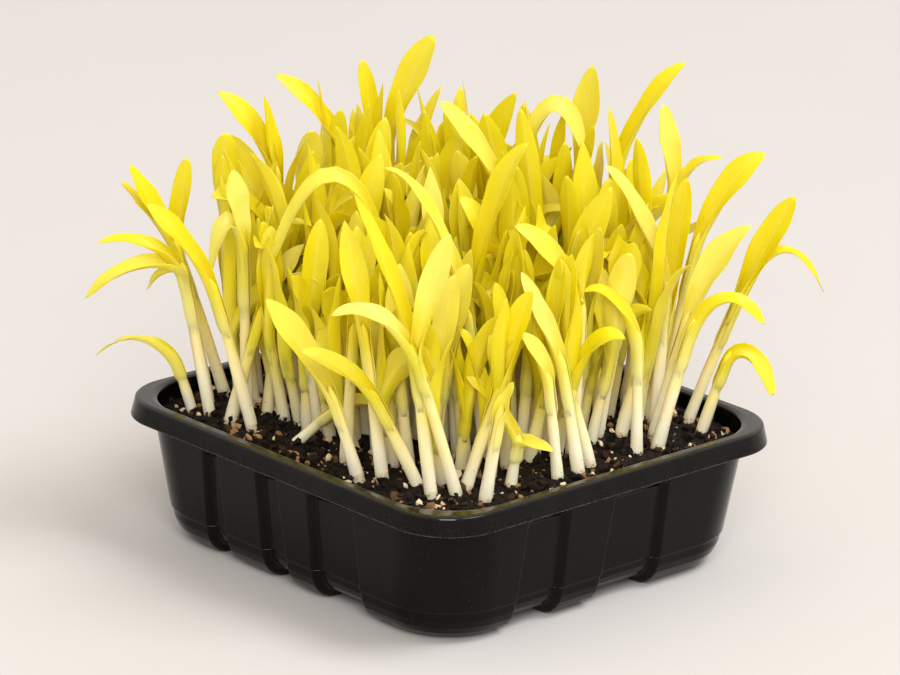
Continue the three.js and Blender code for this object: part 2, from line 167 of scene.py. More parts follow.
class Shape:
    """A mesh in the making: closed surfaces, with named values for each vertex."""

    def __init__(self) -> None:
        """Starts with nothing in it."""
        self.points: list[np.ndarray] = []
        self.faces: list[np.ndarray] = []
        self.features: dict[str, list[np.ndarray]] = {}
        self.count = 0

    def add(self, points: np.ndarray, faces: np.ndarray, features: Mapping[str, np.ndarray]) -> None:
        """Adds a closed surface, turned so that its faces look outward.

        Its volume is a sixth of the sum of a . (b x c) over the triangles a, b, c, and where that is
        negative every face is turned over.

        Args:
            points: the vertices.
            faces: four indices a face; a triangle repeats its last one.
            features: values by name, a row for each vertex.
        """
        a, b, c, d = (points[faces[:, k]] for k in range(4))
        if np.sum(a * (np.cross(b, c) + np.cross(c, d))) < 0:
            three = faces[:, 2:3] == faces[:, 3:4]
            faces = np.where(three, faces[:, [1, 0, 2, 2]], faces[:, ::-1])
        self.points.append(points)
        self.faces.append(faces + self.count)
        self.count += len(points)
        for name, values in features.items():
            self.features.setdefault(name, []).append(values)

    def add_tube(self, rings: np.ndarray, features: Mapping[str, np.ndarray]) -> None:
        """Adds a surface through closed rings, each end closed by a fan to its ring's middle.

        Args:
            rings: the points, as rings x stations x 3.
            features: values by name, as rings x stations, or rings x stations x 3.
        """
        rows, cols = rings.shape[:2]
        row, col = np.meshgrid(np.arange(rows - 1) * cols, np.arange(cols), indexing="ij")
        after = (col + 1) % cols
        quads = np.stack([row + col, row + after, row + cols + after, row + cols + col], -1).reshape(-1, 4)
        around, beyond = np.arange(cols), (np.arange(cols) + 1) % cols
        first, last, tail = rows * cols, rows * cols + 1, (rows - 1) * cols
        start = np.stack([beyond, around, np.full(cols, first), np.full(cols, first)], -1)
        end = np.stack([tail + around, tail + beyond, np.full(cols, last), np.full(cols, last)], -1)

        def closed(values: np.ndarray) -> np.ndarray:
            """Lists a grid's values row by row, then the means of its first and last rows."""
            grid = values.reshape(rows, cols, -1)
            return np.concatenate([grid.reshape(rows * cols, -1), grid[:1].mean(1), grid[-1:].mean(1)])

        named = {name: closed(values) for name, values in features.items()}
        self.add(closed(rings), np.concatenate([quads, start, end]), named)

    def piece(
        self,
        name: str,
        material: bpy.types.Material,
        slot: Slot,
        nodes: Sequence[str] = (),
        rounded: bool = True,
    ) -> bpy.types.Object:
        """Makes the mesh a finished piece that rides on the tray's body.

        Args:
            name: the piece's name.
            material: its finish.
            slot: the record's material slot; not used.
            nodes: the frame's nodes that the piece stands for.
            rounded: whether its faces are shaded as one smooth surface.

        Returns:
            The new object.
        """
        points, faces = np.concatenate(self.points) * MM, np.concatenate(self.faces)
        sides = np.where(faces[:, 2] == faces[:, 3], 3, 4)
        mesh = bpy.data.meshes.new(name)
        mesh.vertices.add(len(points))
        mesh.vertices.foreach_set("co", points.ravel())
        mesh.loops.add(int(sides.sum()))
        mesh.loops.foreach_set("vertex_index", faces[np.arange(4) < sides[:, None]])
        mesh.polygons.add(len(faces))
        mesh.polygons.foreach_set("loop_start", np.cumsum(sides) - sides)
        mesh.polygons.foreach_set("use_smooth", np.full(len(faces), rounded))
        mesh.update(calc_edges=True)
        for feature, parts in self.features.items():
            values = np.concatenate(parts)
            single = values.shape[1] == 1
            layer = mesh.attributes.new(feature, "FLOAT" if single else "FLOAT_VECTOR", "POINT")
            layer.data.foreach_set("value" if single else "vector", values.ravel())
        mesh.materials.append(material)
        made = stand(name, mesh)
        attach(made, BODY)
        if nodes:
            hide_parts(*nodes)
        log.info("%s: %d faces", name, len(faces))
        return made


# ---- Material sheets -------------------------------------------------------------------------


class Wire:
    """A number, colour or vector inside a material. Sums on it add Math nodes."""

    def __init__(self, sheet: "Sheet", socket: bpy.types.NodeSocket) -> None:
        """Wraps an output socket of a node on the sheet."""
        self.sheet = sheet
        self.socket = socket

    def __add__(self, other: "Wire | float") -> "Wire":
        """Returns self + other."""
        return self.sheet.math("ADD", self, other)

    def __radd__(self, other: float) -> "Wire":
        """Returns other + self."""
        return self.sheet.math("ADD", other, self)

    def __sub__(self, other: "Wire | float") -> "Wire":
        """Returns self - other."""
        return self.sheet.math("SUBTRACT", self, other)

    def __rsub__(self, other: float) -> "Wire":
        """Returns other - self."""
        return self.sheet.math("SUBTRACT", other, self)

    def __mul__(self, other: "Wire | float") -> "Wire":
        """Returns self x other."""
        return self.sheet.math("MULTIPLY", self, other)

    def __rmul__(self, other: float) -> "Wire":
        """Returns other x self."""
        return self.sheet.math("MULTIPLY", other, self)


Value = Wire | float | Sequence[float]


class Sheet:
    """The nodes of one material."""

    def __init__(self, name: str) -> None:
        """Starts a material called name with no nodes."""
        self.material = bpy.data.materials.new(name)
        self.material.use_nodes = True
        self.tree = self.material.node_tree
        self.tree.nodes.clear()

    def node(
        self,
        kind: str,
        inputs: Mapping[str | int, Value],
        output: str | int = 0,
        stops: Sequence[tuple[float, Colour]] = (),
        **settings: object,
    ) -> Wire:
        """Adds any node.

        Args:
            kind: the node's type.
            inputs: values or links of its sockets, by name or number.
            output: the socket that is returned.
            stops: places and colours of a colour ramp.
            settings: the node's own settings, which are set before its sockets.

        Returns:
            The chosen output.
        """
        made = self.tree.nodes.new(kind)
        for name, value in settings.items():
            setattr(made, name, value)
        for index, (place, colour) in enumerate(stops):
            elements = made.color_ramp.elements
            stop = elements[index] if index < 2 else elements.new(place)
            stop.position, stop.color = place, (*colour, 1.0)
        for name, value in inputs.items():
            socket = made.inputs[name]
            if isinstance(value, Wire):
                self.tree.links.new(value.socket, socket)
            elif isinstance(value, (int, float)):
                socket.default_value = value
            else:
                socket.default_value = (*value, 1.0)[: len(socket.default_value)]
        return Wire(self, made.outputs[output])

    def math(self, operation: str, *values: "Wire | float") -> Wire:
        """Adds a Math node on the values."""
        return self.node("ShaderNodeMath", dict(enumerate(values)), operation=operation)

    def blend(self, cover: "Wire | float", under: Value, over: Value) -> Wire:
        """Lays a colour over another, which shows where cover is 0 and is hidden where it is 1."""
        return self.node("ShaderNodeMix", {"Factor": cover, 6: under, 7: over}, output=2, data_type="RGBA")

    def place(self) -> Wire:
        """Returns the piece's own Object coordinates, in metres."""
        return self.node("ShaderNodeTexCoord", {}, output="Object")

    def number(self, feature: str) -> Wire:
        """Reads a number that the mesh holds for each vertex."""
        return self.node("ShaderNodeAttribute", {}, output="Fac", attribute_name=feature)

    def vector(self, feature: str) -> Wire:
        """Reads a vector that the mesh holds for each vertex."""
        return self.node("ShaderNodeAttribute", {}, output="Vector", attribute_name=feature)

    def scaled(self, vector: Wire, by: Place) -> Wire:
        """Multiplies a vector by three numbers."""
        return self.node("ShaderNodeVectorMath", {0: vector, 1: by}, operation="MULTIPLY")

    def clouds(self, vector: Wire, size: float, detail: float = 3.0) -> Wire:
        """Noise from 0 to 1 whose blobs are about `size` across, in the vector's unit."""
        return self.node("ShaderNodeTexNoise", {"Vector": vector, "Scale": 1 / size, "Detail": detail})

    def step(self, value: Wire, low: float, high: float) -> Wire:
        """A smooth step of value: 0 at low, 1 at high."""
        inputs = {"Value": value, "From Min": low, "From Max": high}
        return self.node("ShaderNodeMapRange", inputs, interpolation_type="SMOOTHSTEP")

    def ramp(self, value: Wire, stops: Sequence[tuple[float, Colour]]) -> Wire:
        """Reads a colour off a ramp of places and colours."""
        return self.node("ShaderNodeValToRGB", {"Fac": value}, stops=stops)

    def bump(self, height: Wire, depth: float, over: Wire | None = None) -> Wire:
        """Turns a height from 0 to 1, `depth` millimetres deep, into a normal laid over another."""
        inputs: dict[str | int, Value] = {"Height": height, "Distance": depth * MM}
        if over is not None:
            inputs["Normal"] = over
        return self.node("ShaderNodeBump", inputs)

    def finish(self, sockets: Mapping[str, Value]) -> bpy.types.Material:
        """Adds the Principled shader with these sockets, and returns the material."""
        shader = self.node("ShaderNodeBsdfPrincipled", sockets)
        surface = self.tree.nodes.new("ShaderNodeOutputMaterial").inputs["Surface"]
        self.tree.links.new(shader.socket, surface)
        return self.material


# ---- Finishes --------------------------------------------------------------------------------


@dataclass(frozen=True)
class TrayPlastic:
    """Black pressed plastic: a soft gloss, a fine grain, faint scuffs, dust specks, and a painted
    highlight line on its lips.

    The mesh gives `edge`, 1 on the lips where the highlight line is painted, and `shine`, 1 on the rim's
    round.
    """

    black: Colour = paint(8, 7, 6)
    worn: Colour = paint(19, 17, 15)
    # Pale tone of the dust specks; it also paints the highlight line on the lips.
    dust_and_glint_tone: Colour = paint(150, 140, 124)
    grain_size: float = 0.9
    grain_depth: float = 0.03
    scuff_size: float = 14.0
    scuff_stretch: Place = (1.0, 1.0, 0.3)
    speck_size: float = 0.5
    roughness: float = 0.11
    reflection: float = 0.12
    coat: float = 0.7
    coat_roughness: float = 0.1

    def make(self) -> bpy.types.Material:
        """Builds the material."""
        sheet = Sheet("tray_plastic")
        place = sheet.place()
        grain = sheet.clouds(place, self.grain_size * MM)
        streaks = sheet.clouds(sheet.scaled(place, self.scuff_stretch), self.scuff_size * MM)
        scuffs = sheet.step(streaks, 0.45, 0.75)
        specks = sheet.step(sheet.clouds(place, self.speck_size * MM, 1.0), 0.7, 0.78)
        # Dust specks, and a pale line on the lips that is a painted highlight.
        dust_and_glint = specks * 0.1 + 0.3 * sheet.number("edge") * sheet.step(grain, 0.3, 0.6)
        colour = sheet.blend(scuffs * 0.35, self.black, self.worn)
        return sheet.finish(
            {
                "Base Color": sheet.blend(dust_and_glint, colour, self.dust_and_glint_tone),
                "Roughness": self.roughness + 0.06 * grain + 0.16 * scuffs + 0.3 * dust_and_glint,
                "Normal": sheet.bump(grain, self.grain_depth),
                "Specular IOR Level": self.reflection,
                "Coat Weight": sheet.number("shine") * self.coat,
                "Coat Roughness": self.coat_roughness,
            }
        )


@dataclass(frozen=True)
class DampPeat:
    """Dark damp peat: brown on its crumbs and near black in its hollows, its own dark with painted shade;
    with bark and tan fibres.

    The mesh gives `tint`, a random number for each loose crumb. The highest are bits of bark.
    """

    dark_peat_and_shade: Colour = paint(8, 5, 3)
    crumb: Colour = paint(36, 23, 13)
    bark: Colour = paint(102, 72, 42)
    fibre: Colour = paint(112, 84, 52)
    crumb_size: float = 2.2
    crumb_depth: float = 1.2
    fibre_size: float = 0.8
    fibre_depth: float = 0.15
    fibre_stretch: Place = (1.0, 0.25, 1.0)
    bark_from: float = 0.72
    bark_cover: float = 0.7
    fibre_cover: float = 0.5
    roughness: float = 0.95
    reflection: float = 0.22

    def make(self) -> bpy.types.Material:
        """Builds the material."""
        sheet = Sheet("damp_peat")
        place = sheet.place()
        crumbs = sheet.clouds(place, self.crumb_size * MM, 6.0)
        strands = sheet.clouds(sheet.scaled(place, self.fibre_stretch), self.fibre_size * MM, 2.0)
        fibres = sheet.step(strands, 0.66, 0.78)
        barky = self.bark_cover * sheet.step(sheet.number("tint"), self.bark_from, 1.0)
        # Near black where the crumbs' bump is low: the peat's own dark with painted shade in the hollows.
        ground = sheet.blend(sheet.step(crumbs, 0.35, 0.7), self.dark_peat_and_shade, self.crumb)
        ground = sheet.blend(barky, ground, self.bark)
        return sheet.finish(
            {
                "Base Color": sheet.blend(fibres * self.fibre_cover, ground, self.fibre),
                "Roughness": self.roughness - 0.25 * crumbs,
                "Normal": sheet.bump(crumbs, self.crumb_depth, sheet.bump(fibres, self.fibre_depth)),
                "Specular IOR Level": self.reflection,
            }
        )


@dataclass(frozen=True)
class MineralGrain:
    """Chips of mineral in the peat: white, tan and a few gold ones.

    The mesh gives `tint`, a random number for each chip, which picks its colour.
    """

    white: Colour = paint(234, 212, 170)
    tan: Colour = paint(176, 136, 88)
    gold: Colour = paint(128, 84, 44)
    stain_size: float = 1.2
    stain_depth: float = 0.2
    stain_cover: float = 0.45
    roughness: float = 0.75

    def make(self) -> bpy.types.Material:
        """Builds the material."""
        sheet = Sheet("mineral_grain")
        stain = sheet.clouds(sheet.place(), self.stain_size * MM)
        kinds = [(0.0, self.white), (0.25, self.white), (0.5, self.tan), (1.0, self.gold)]
        colour = sheet.ramp(sheet.number("tint"), kinds)
        shade = sheet.step(stain, 0.4, 0.8)
        return sheet.finish(
            {
                "Base Color": sheet.blend(self.stain_cover * shade, colour, self.gold),
                "Roughness": self.roughness + 0.2 * stain,
                "Normal": sheet.bump(stain, self.stain_depth),
            }
        )


@dataclass(frozen=True)
class ShootFlesh:
    """Etiolated corn: cream stems that turn yellow into the blades, with fine long veins.

    The mesh gives `growth`, 0 at the ground, 1 at the collar and 2 at a blade's tip; `tint`, from
    deep yellow to pale; `rib`, 1 on a midrib; and `grain`, the place on the flesh in millimetres,
    whose last number runs along it.
    """

    soiled: Colour = paint(150, 118, 74)
    cream: Colour = paint(250, 241, 214)
    ivory: Colour = paint(248, 233, 170)
    straw: Colour = paint(243, 226, 118)
    lemon: Colour = paint(238, 219, 56)
    yellow: Colour = paint(234, 213, 8)
    tip: Colour = paint(239, 221, 34)
    pale: Colour = paint(250, 240, 138)
    # Deep yellow: the flesh's own darker tone, and also painted shade inside the canopy.
    deep: Colour = paint(217, 191, 4)
    speck: Colour = paint(110, 72, 34)
    vein_pitch: float = 0.42
    vein_length: float = 16.0
    vein_depth: float = 0.1
    rib_depth: float = 0.12
    cloud_size: float = 9.0
    dirt_size: float = 1.1
    speck_size: float = 0.9
    roughness: float = 0.46
    reflection: float = 0.36
    glow: float = 0.35
    glow_depth: float = 1.6
    glow_reach: Colour = (1.0, 0.72, 0.18)

    def layers(self, sheet: Sheet, veins: Wire, clouds: Wire, foot: Wire) -> list[tuple[Wire, Colour]]:
        """What lies over the flesh's own colour, from the lowest: how far it covers, and its colour.

        Args:
            sheet: the material's sheet.
            veins: fine long veins, from 0 to 1.
            clouds: broad clouds, from 0 to 1.
            foot: 1 at the ground, 0 a little above it.

        Returns:
            Covers and colours.
        """
        place = sheet.place()
        growth, tint, rib = (sheet.number(name) for name in ("growth", "tint", "rib"))
        dirt = sheet.step(sheet.clouds(place, self.dirt_size * MM), 0.52, 0.62)
        specks = sheet.step(sheet.clouds(place, self.speck_size * MM, 1.0), 0.72, 0.78)
        return [
            (sheet.step(tint, 0.35, 0.9) * sheet.step(growth, 0.7, 1.3) * 0.55, self.pale),
            (sheet.step(clouds, 0.5, 0.75) * sheet.step(growth, 0.8, 1.2) * 0.3, self.deep),
            # Low tints, which the inner shoots get, deepen the yellow: random tone, and painted shade
            # inside the canopy.
            ((1 - sheet.step(tint, 0.0, 0.5)) * sheet.step(growth, 0.3, 1.0) * 0.36, self.deep),
            (rib * 0.28, self.pale),
            (veins * 0.14, self.deep),
            (foot * (0.35 + 0.65 * dirt), self.soiled),
            ((1 - sheet.step(growth, 0.04, 0.4)) * specks, self.speck),
        ]

    def make(self) -> bpy.types.Material:
        """Builds the material."""
        sheet = Sheet("shoot_flesh")
        growth, tint, rib = (sheet.number(name) for name in ("growth", "tint", "rib"))
        pitch, length = 1 / self.vein_pitch, 1 / self.vein_length
        veins = sheet.clouds(sheet.scaled(sheet.vector("grain"), (pitch, pitch, length)), 1.0, 2.0)
        clouds = sheet.clouds(sheet.place(), self.cloud_size * MM)
        foot = 1 - sheet.step(growth, 0.0, 0.06)
        # A low tint also pushes the ramp toward yellow, so the inner stems carry painted yellow bounce
        # light.
        ripe = growth * 0.5 + (tint - 0.5) * -0.36 + (clouds - 0.5) * 0.2
        stops = [
            (0.0, self.cream),
            (0.12, self.cream),
            (0.27, self.ivory),
            (0.42, self.straw),
            (0.54, self.lemon),
            (0.68, self.yellow),
            (0.9, self.yellow),
            (1.0, self.tip),
        ]
        flesh = sheet.ramp(ripe, stops)
        for cover, colour in self.layers(sheet, veins, clouds, foot):
            flesh = sheet.blend(cover, flesh, colour)
        return sheet.finish(
            {
                "Base Color": flesh,
                "Roughness": self.roughness - 0.16 * veins + 0.2 * foot,
                "Normal": sheet.bump(veins, self.vein_depth, sheet.bump(rib, self.rib_depth)),
                "Subsurface Weight": self.glow,
                "Subsurface Radius": self.glow_reach,
                "Subsurface Scale": self.glow_depth * MM,
                "Specular IOR Level": self.reflection,
            }
        )


@dataclass(frozen=True)
class StudioFloor:
    """Plain warm off-white floor with a faint mottle."""

    colour: Colour = paint(214, 208, 203)
    shade: float = 0.94
    mottle_size: float = 80.0
    mottle_cover: float = 0.5
    roughness: float = 0.9

    def make(self) -> bpy.types.Material:
        """Builds the material."""
        sheet = Sheet("studio_floor")
        mottle = sheet.clouds(sheet.place(), self.mottle_size * MM)
        shaded = tuple(self.shade * part for part in self.colour)
        colour = sheet.blend(mottle * self.mottle_cover, self.colour, shaded)
        return sheet.finish({"Base Color": colour, "Roughness": self.roughness})


# ---- Tray ------------------------------------------------------------------------------------


@dataclass(frozen=True)
class Flute:
    """An upright groove in a wall: its span along the wall under the rim, and at the ground."""

    top: tuple[float, float]
    foot: tuple[float, float]

    def mirrored(self) -> "Flute":
        """Returns the same groove on the opposite wall."""
        return Flute((-self.top[1], -self.top[0]), (-self.foot[1], -self.foot[0]))


@dataclass(frozen=True)
class Ring:
    """One level of a wall: a rounded rectangle `inset` from the rim's edge.

    At its flutes it goes `flute` further in and `lift` higher, and `squeeze` draws its stations
    together.
    """

    z: float
    inset: float
    corner: float
    flute: float = 0.0
    lift: float = 0.0
    squeeze: float = 1.0

    def row(self) -> list[float]:
        """Returns the ring's numbers in order."""
        return [self.z, self.inset, self.corner, self.flute, self.lift, self.squeeze]


@dataclass
class Tray:
    """The pressed black tray: rim with a skirt, fluted walls that lean in, and feet."""

    half_x: float = 83.8
    half_y: float = 78.7
    height: float = 50.0
    sheet: float = 1.2
    rim_corner: float = 20.0
    rim_width: float = 4.4
    rim_round: float = 0.8
    skirt_drop: float = 6.8
    skirt_flare: float = 1.4
    wall_corner: float = 25.0
    wall_inset: float = 2.6
    wall_draft: float = 0.127
    step_z: float = 11.5
    step_depth: float = 0.5
    foot_corner: float = 17.0
    foot_inset: float = 18.8
    foot_width: float = 6.0
    arch_lift: float = 2.4
    pad_inset: float = 54.0
    pad_corner: float = 6.0
    pad_squeeze: float = 0.42
    flute_depth: float = 2.5
    flute_top_z: float = 41.0
    flute_slope: float = 2.4
    front_flutes: tuple[Flute, ...] = (
        Flute((-40, -32), (-42, -31)),
        Flute((-13, -2), (-13, 0)),
        Flute((13, 36), (12, 37)),
    )
    side_flutes: tuple[Flute, ...] = (
        Flute((-37, -18), (-39, -17)),
        Flute((2, 27), (-1, 27)),
    )
    corner_steps: int = 20
    slope_steps: int = 6
    flat_steps: int = 4
    foot_steps: int = 7
    edge_radius: float = 0.45
    edge_steps: int = 4
    edge_hold: float = 0.35
    longest_hold: float = 0.3
    # Widths of the painted highlight line on the skirt's lip and the rim's top, and the top's share of it.
    skirt_glint: float = 0.35
    top_glint: float = 0.25
    top_glint_share: float = 0.25
    outside_margin: float = 0.5

    def __post_init__(self) -> None:
        """Works out the stations round the tray: `turn`, `top`, `foot`, `deep`, `angle`."""
        near = (self.front_flutes, self.side_flutes)
        far = [tuple(flute.mirrored() for flute in reversed(side)) for side in near]
        rows = [self._side(flutes, turn) for turn, flutes in enumerate([*near, *far])]
        self.stations = np.concatenate(rows).T

    def _side(self, flutes: tuple[Flute, ...], turn: int) -> np.ndarray:
        """The stations of one wall and of the round corner after it.

        A flute's two slopes are smooth steps from 0 to full depth, with flat ground between them.
        A station just outside each end of a slope holds the flats flat.

        Args:
            flutes: the wall's flutes.
            turn: quarter turns from the front wall.

        Returns:
            A row for each station: turn, top, foot, deep, and the corner's angle or nan.
        """
        ways = np.linspace(0, 1, self.slope_steps)
        floor = self.flute_slope + self.edge_hold
        slope = np.concatenate([[-self.edge_hold], ways * self.flute_slope, [floor]])
        sunk = np.concatenate([[0], smooth(ways), [1]])
        flat = np.linspace(0, 1, self.flat_steps + 1)[1:-1]
        shares = np.concatenate([slope * 0, flat, slope * 0 + 1])
        offsets = np.concatenate([slope, (1 - 2 * flat) * floor, -slope[::-1]])
        deep = np.concatenate([sunk, flat * 0 + 1, sunk[::-1]])
        blocks = []
        for flute in flutes:
            top, foot = (mix(*span, shares) + offsets for span in (flute.top, flute.foot))
            blocks.append(np.stack([deep * 0 + turn, top, foot, deep, deep * np.nan], 1))
        angle = np.linspace(0, math.pi / 2, self.corner_steps + 1)
        blocks.append(np.stack([angle * 0 + turn, angle * 0, angle * 0, angle * 0, angle], 1))
        return np.concatenate(blocks)

    def surface(self, rings: np.ndarray) -> np.ndarray:
        """Every station's place on every ring.

        On a straight wall the place along it is mix(foot, top, z / flute_top_z) x squeeze, and the
        place across it is the wall's reach less flute x deep. In a corner the two are the sine and
        the cosine of the station's angle. Quarter turns then bring the side to its place.

        Args:
            rings: a row of ring numbers for each level.

        Returns:
            Points as rings x stations x 3.
        """
        z, inset, corner, flute, lift, squeeze = rings.T[:, :, None]
        turn, top, foot, deep, angle = self.stations[:, None, :]
        sideways = turn % 2 == 1
        reach = np.where(sideways, self.half_y, self.half_x) - inset
        out = np.where(sideways, self.half_x, self.half_y) - inset
        on_wall = mix(foot, top, np.clip(z / self.flute_top_z, 0, 1)) * squeeze
        straight = np.isnan(angle)
        bend = np.where(straight, 0, angle)
        along = np.where(straight, on_wall, reach - corner + corner * np.sin(bend))
        away = out - flute * deep + corner * (np.cos(bend) - 1)
        cosine, sine = np.cos(turn * TURN / 4), np.sin(turn * TURN / 4)
        x, y = along * cosine + away * sine, along * sine - away * cosine
        return np.stack([x, y, z + lift * deep], -1)

    def wall(self, z: float, depth: float, flute: float) -> Ring:
        """Returns the wall's ring at height z, for a face `depth` inside the outer one."""
        inset = self.wall_inset + (self.height - self.sheet - z) * self.wall_draft + depth
        return Ring(z, inset, self.wall_corner - depth, flute)

    def foot_rings(self, depth: float, first: float, last: float, steps: int) -> list[Ring]:
        """Rings that round the wall's foot: a quarter ellipse from the ledge to the underside.

        Args:
            depth: how far the face is inside the outer one.
            first: the first ring's angle in degrees, 0 at the ledge and 90 at the underside.
            last: the last ring's angle.
            steps: how many rings there are.

        Returns:
            The rings in order.
        """
        low = self.wall(self.step_z, depth, 0).inset + self.step_depth
        rings = []
        for angle in np.radians(np.linspace(first, last, steps)):
            in_share, down_share = 1 - math.cos(angle), math.sin(angle)
            corner = mix(self.wall_corner, self.foot_corner, in_share) - depth
            inset = mix(low, self.foot_inset, in_share)
            z = mix(self.step_z, depth, down_share)
            rings.append(Ring(z, inset, corner, self.flute_depth, self.arch_lift * down_share))
        return rings

    def profile(self) -> list[Ring]:
        """Lists the tray's levels from the underside's middle, over the rim, to the inside's middle."""
        under, drop = self.height - self.sheet, self.height - self.skirt_drop
        inner, corner = self.foot_inset + self.foot_width, self.foot_corner - self.foot_width
        lip, slope = self.sheet - self.skirt_flare, self.flute_top_z - self.flute_slope
        top, rim_round, inside = self.height, self.rim_round, self.wall_corner - self.sheet
        pad = dict(corner=self.pad_corner, squeeze=self.pad_squeeze)
        half, lift, flare = self.sheet / 2, self.arch_lift, self.rim_corner + self.skirt_flare
        return [
            Ring(0, self.pad_inset, **pad),
            Ring(lift, self.pad_inset - lift, **pad),
            Ring(lift, inner + lift, corner),
            Ring(0, inner, corner, lift=lift),
            *self.foot_rings(0, 90, 0, self.foot_steps),
            self.wall(self.step_z + self.step_depth, 0, self.flute_depth),
            self.wall(slope, 0, self.flute_depth),
            self.wall(self.flute_top_z, 0, 0),
            self.wall(under, 0, 0),
            Ring(under, self.sheet, self.rim_corner - self.sheet),
            Ring(drop, lip, flare - self.sheet),
            Ring(drop, -self.skirt_flare, flare),
            Ring(top - rim_round, 0, self.rim_corner),
            Ring(top, rim_round, self.rim_corner - rim_round),
            Ring(top, self.rim_width - rim_round, inside - rim_round),
            Ring(top - rim_round, self.rim_width, inside),
            self.wall(self.flute_top_z, self.sheet, 0),
            self.wall(slope, self.sheet, self.flute_depth),
            *self.foot_rings(self.sheet, 0, 90, self.foot_steps),
            Ring(self.sheet, inner - half, corner, lift=lift),
            Ring(self.sheet + lift, inner + lift - half, corner),
            Ring(self.sheet + lift, self.pad_inset - lift + half, **pad),
            Ring(self.sheet, self.pad_inset + half, **pad),
        ]

    def rounded(self, rows: np.ndarray) -> np.ndarray:
        """Rounds the corners of a profile.

        Each corner becomes the curve (1-w)^2 start + 2w(1-w) corner + w^2 end. It leaves the profile
        `edge_radius` before the corner, or at a third of a shorter stretch, and one more row just
        outside each end holds the flats flat.

        Args:
            rows: a row of ring numbers for each level.

        Returns:
            More rows of the same kind.
        """
        corners = rows[1:-1]
        before, after = rows[:-2] - corners, rows[2:] - corners
        lengths = [np.hypot(part[:, 0], part[:, 1])[:, None] for part in (before, after)]
        cuts = [np.minimum(self.edge_radius / np.maximum(length, 1e-6), 1 / 3) for length in lengths]
        holds = [1 + np.minimum(self.edge_hold, self.longest_hold / cut - 1).clip(0) for cut in cuts]
        ways = np.linspace(0, 1, self.edge_steps)[None, :, None]
        start, bend, end = corners + before * cuts[0], corners, corners + after * cuts[1]
        start, bend, end = start[:, None], bend[:, None], end[:, None]
        curve = (1 - ways) ** 2 * start + 2 * ways * (1 - ways) * bend + ways**2 * end
        held = [corners + before * cuts[0] * holds[0], corners + after * cuts[1] * holds[1]]
        whole = np.concatenate([held[0][:, None], curve, held[1][:, None]], 1)
        return np.concatenate([rows[:1], whole.reshape(-1, rows.shape[1]), rows[-1:]])

    def build(self) -> bpy.types.Object:
        """Builds the tray, with `edge` near 1 on the lips where a highlight is painted and `shine` on the
        rim's round.
        """
        rings = self.rounded(np.array([ring.row() for ring in self.profile()]))
        points = self.surface(rings)
        height = points[:, :, 2] - self.height
        outside = rings[:, 1:2] < self.rim_width + self.outside_margin
        # `edge` is where a pale highlight line is painted: the skirt's lip and the rim's top.
        edge = bell(height + self.skirt_drop, self.skirt_glint) + bell(height, self.top_glint) * self.top_glint_share
        shine = bell(height + self.rim_round / 2, self.rim_round)
        shape = Shape()
        shape.add_tube(points, {"edge": edge * outside, "shine": shine * outside})
        return shape.piece("dressed_tray", TrayPlastic().make(), Slot.TRAY, ["tray"])


# ---- Growing medium --------------------------------------------------------------------------


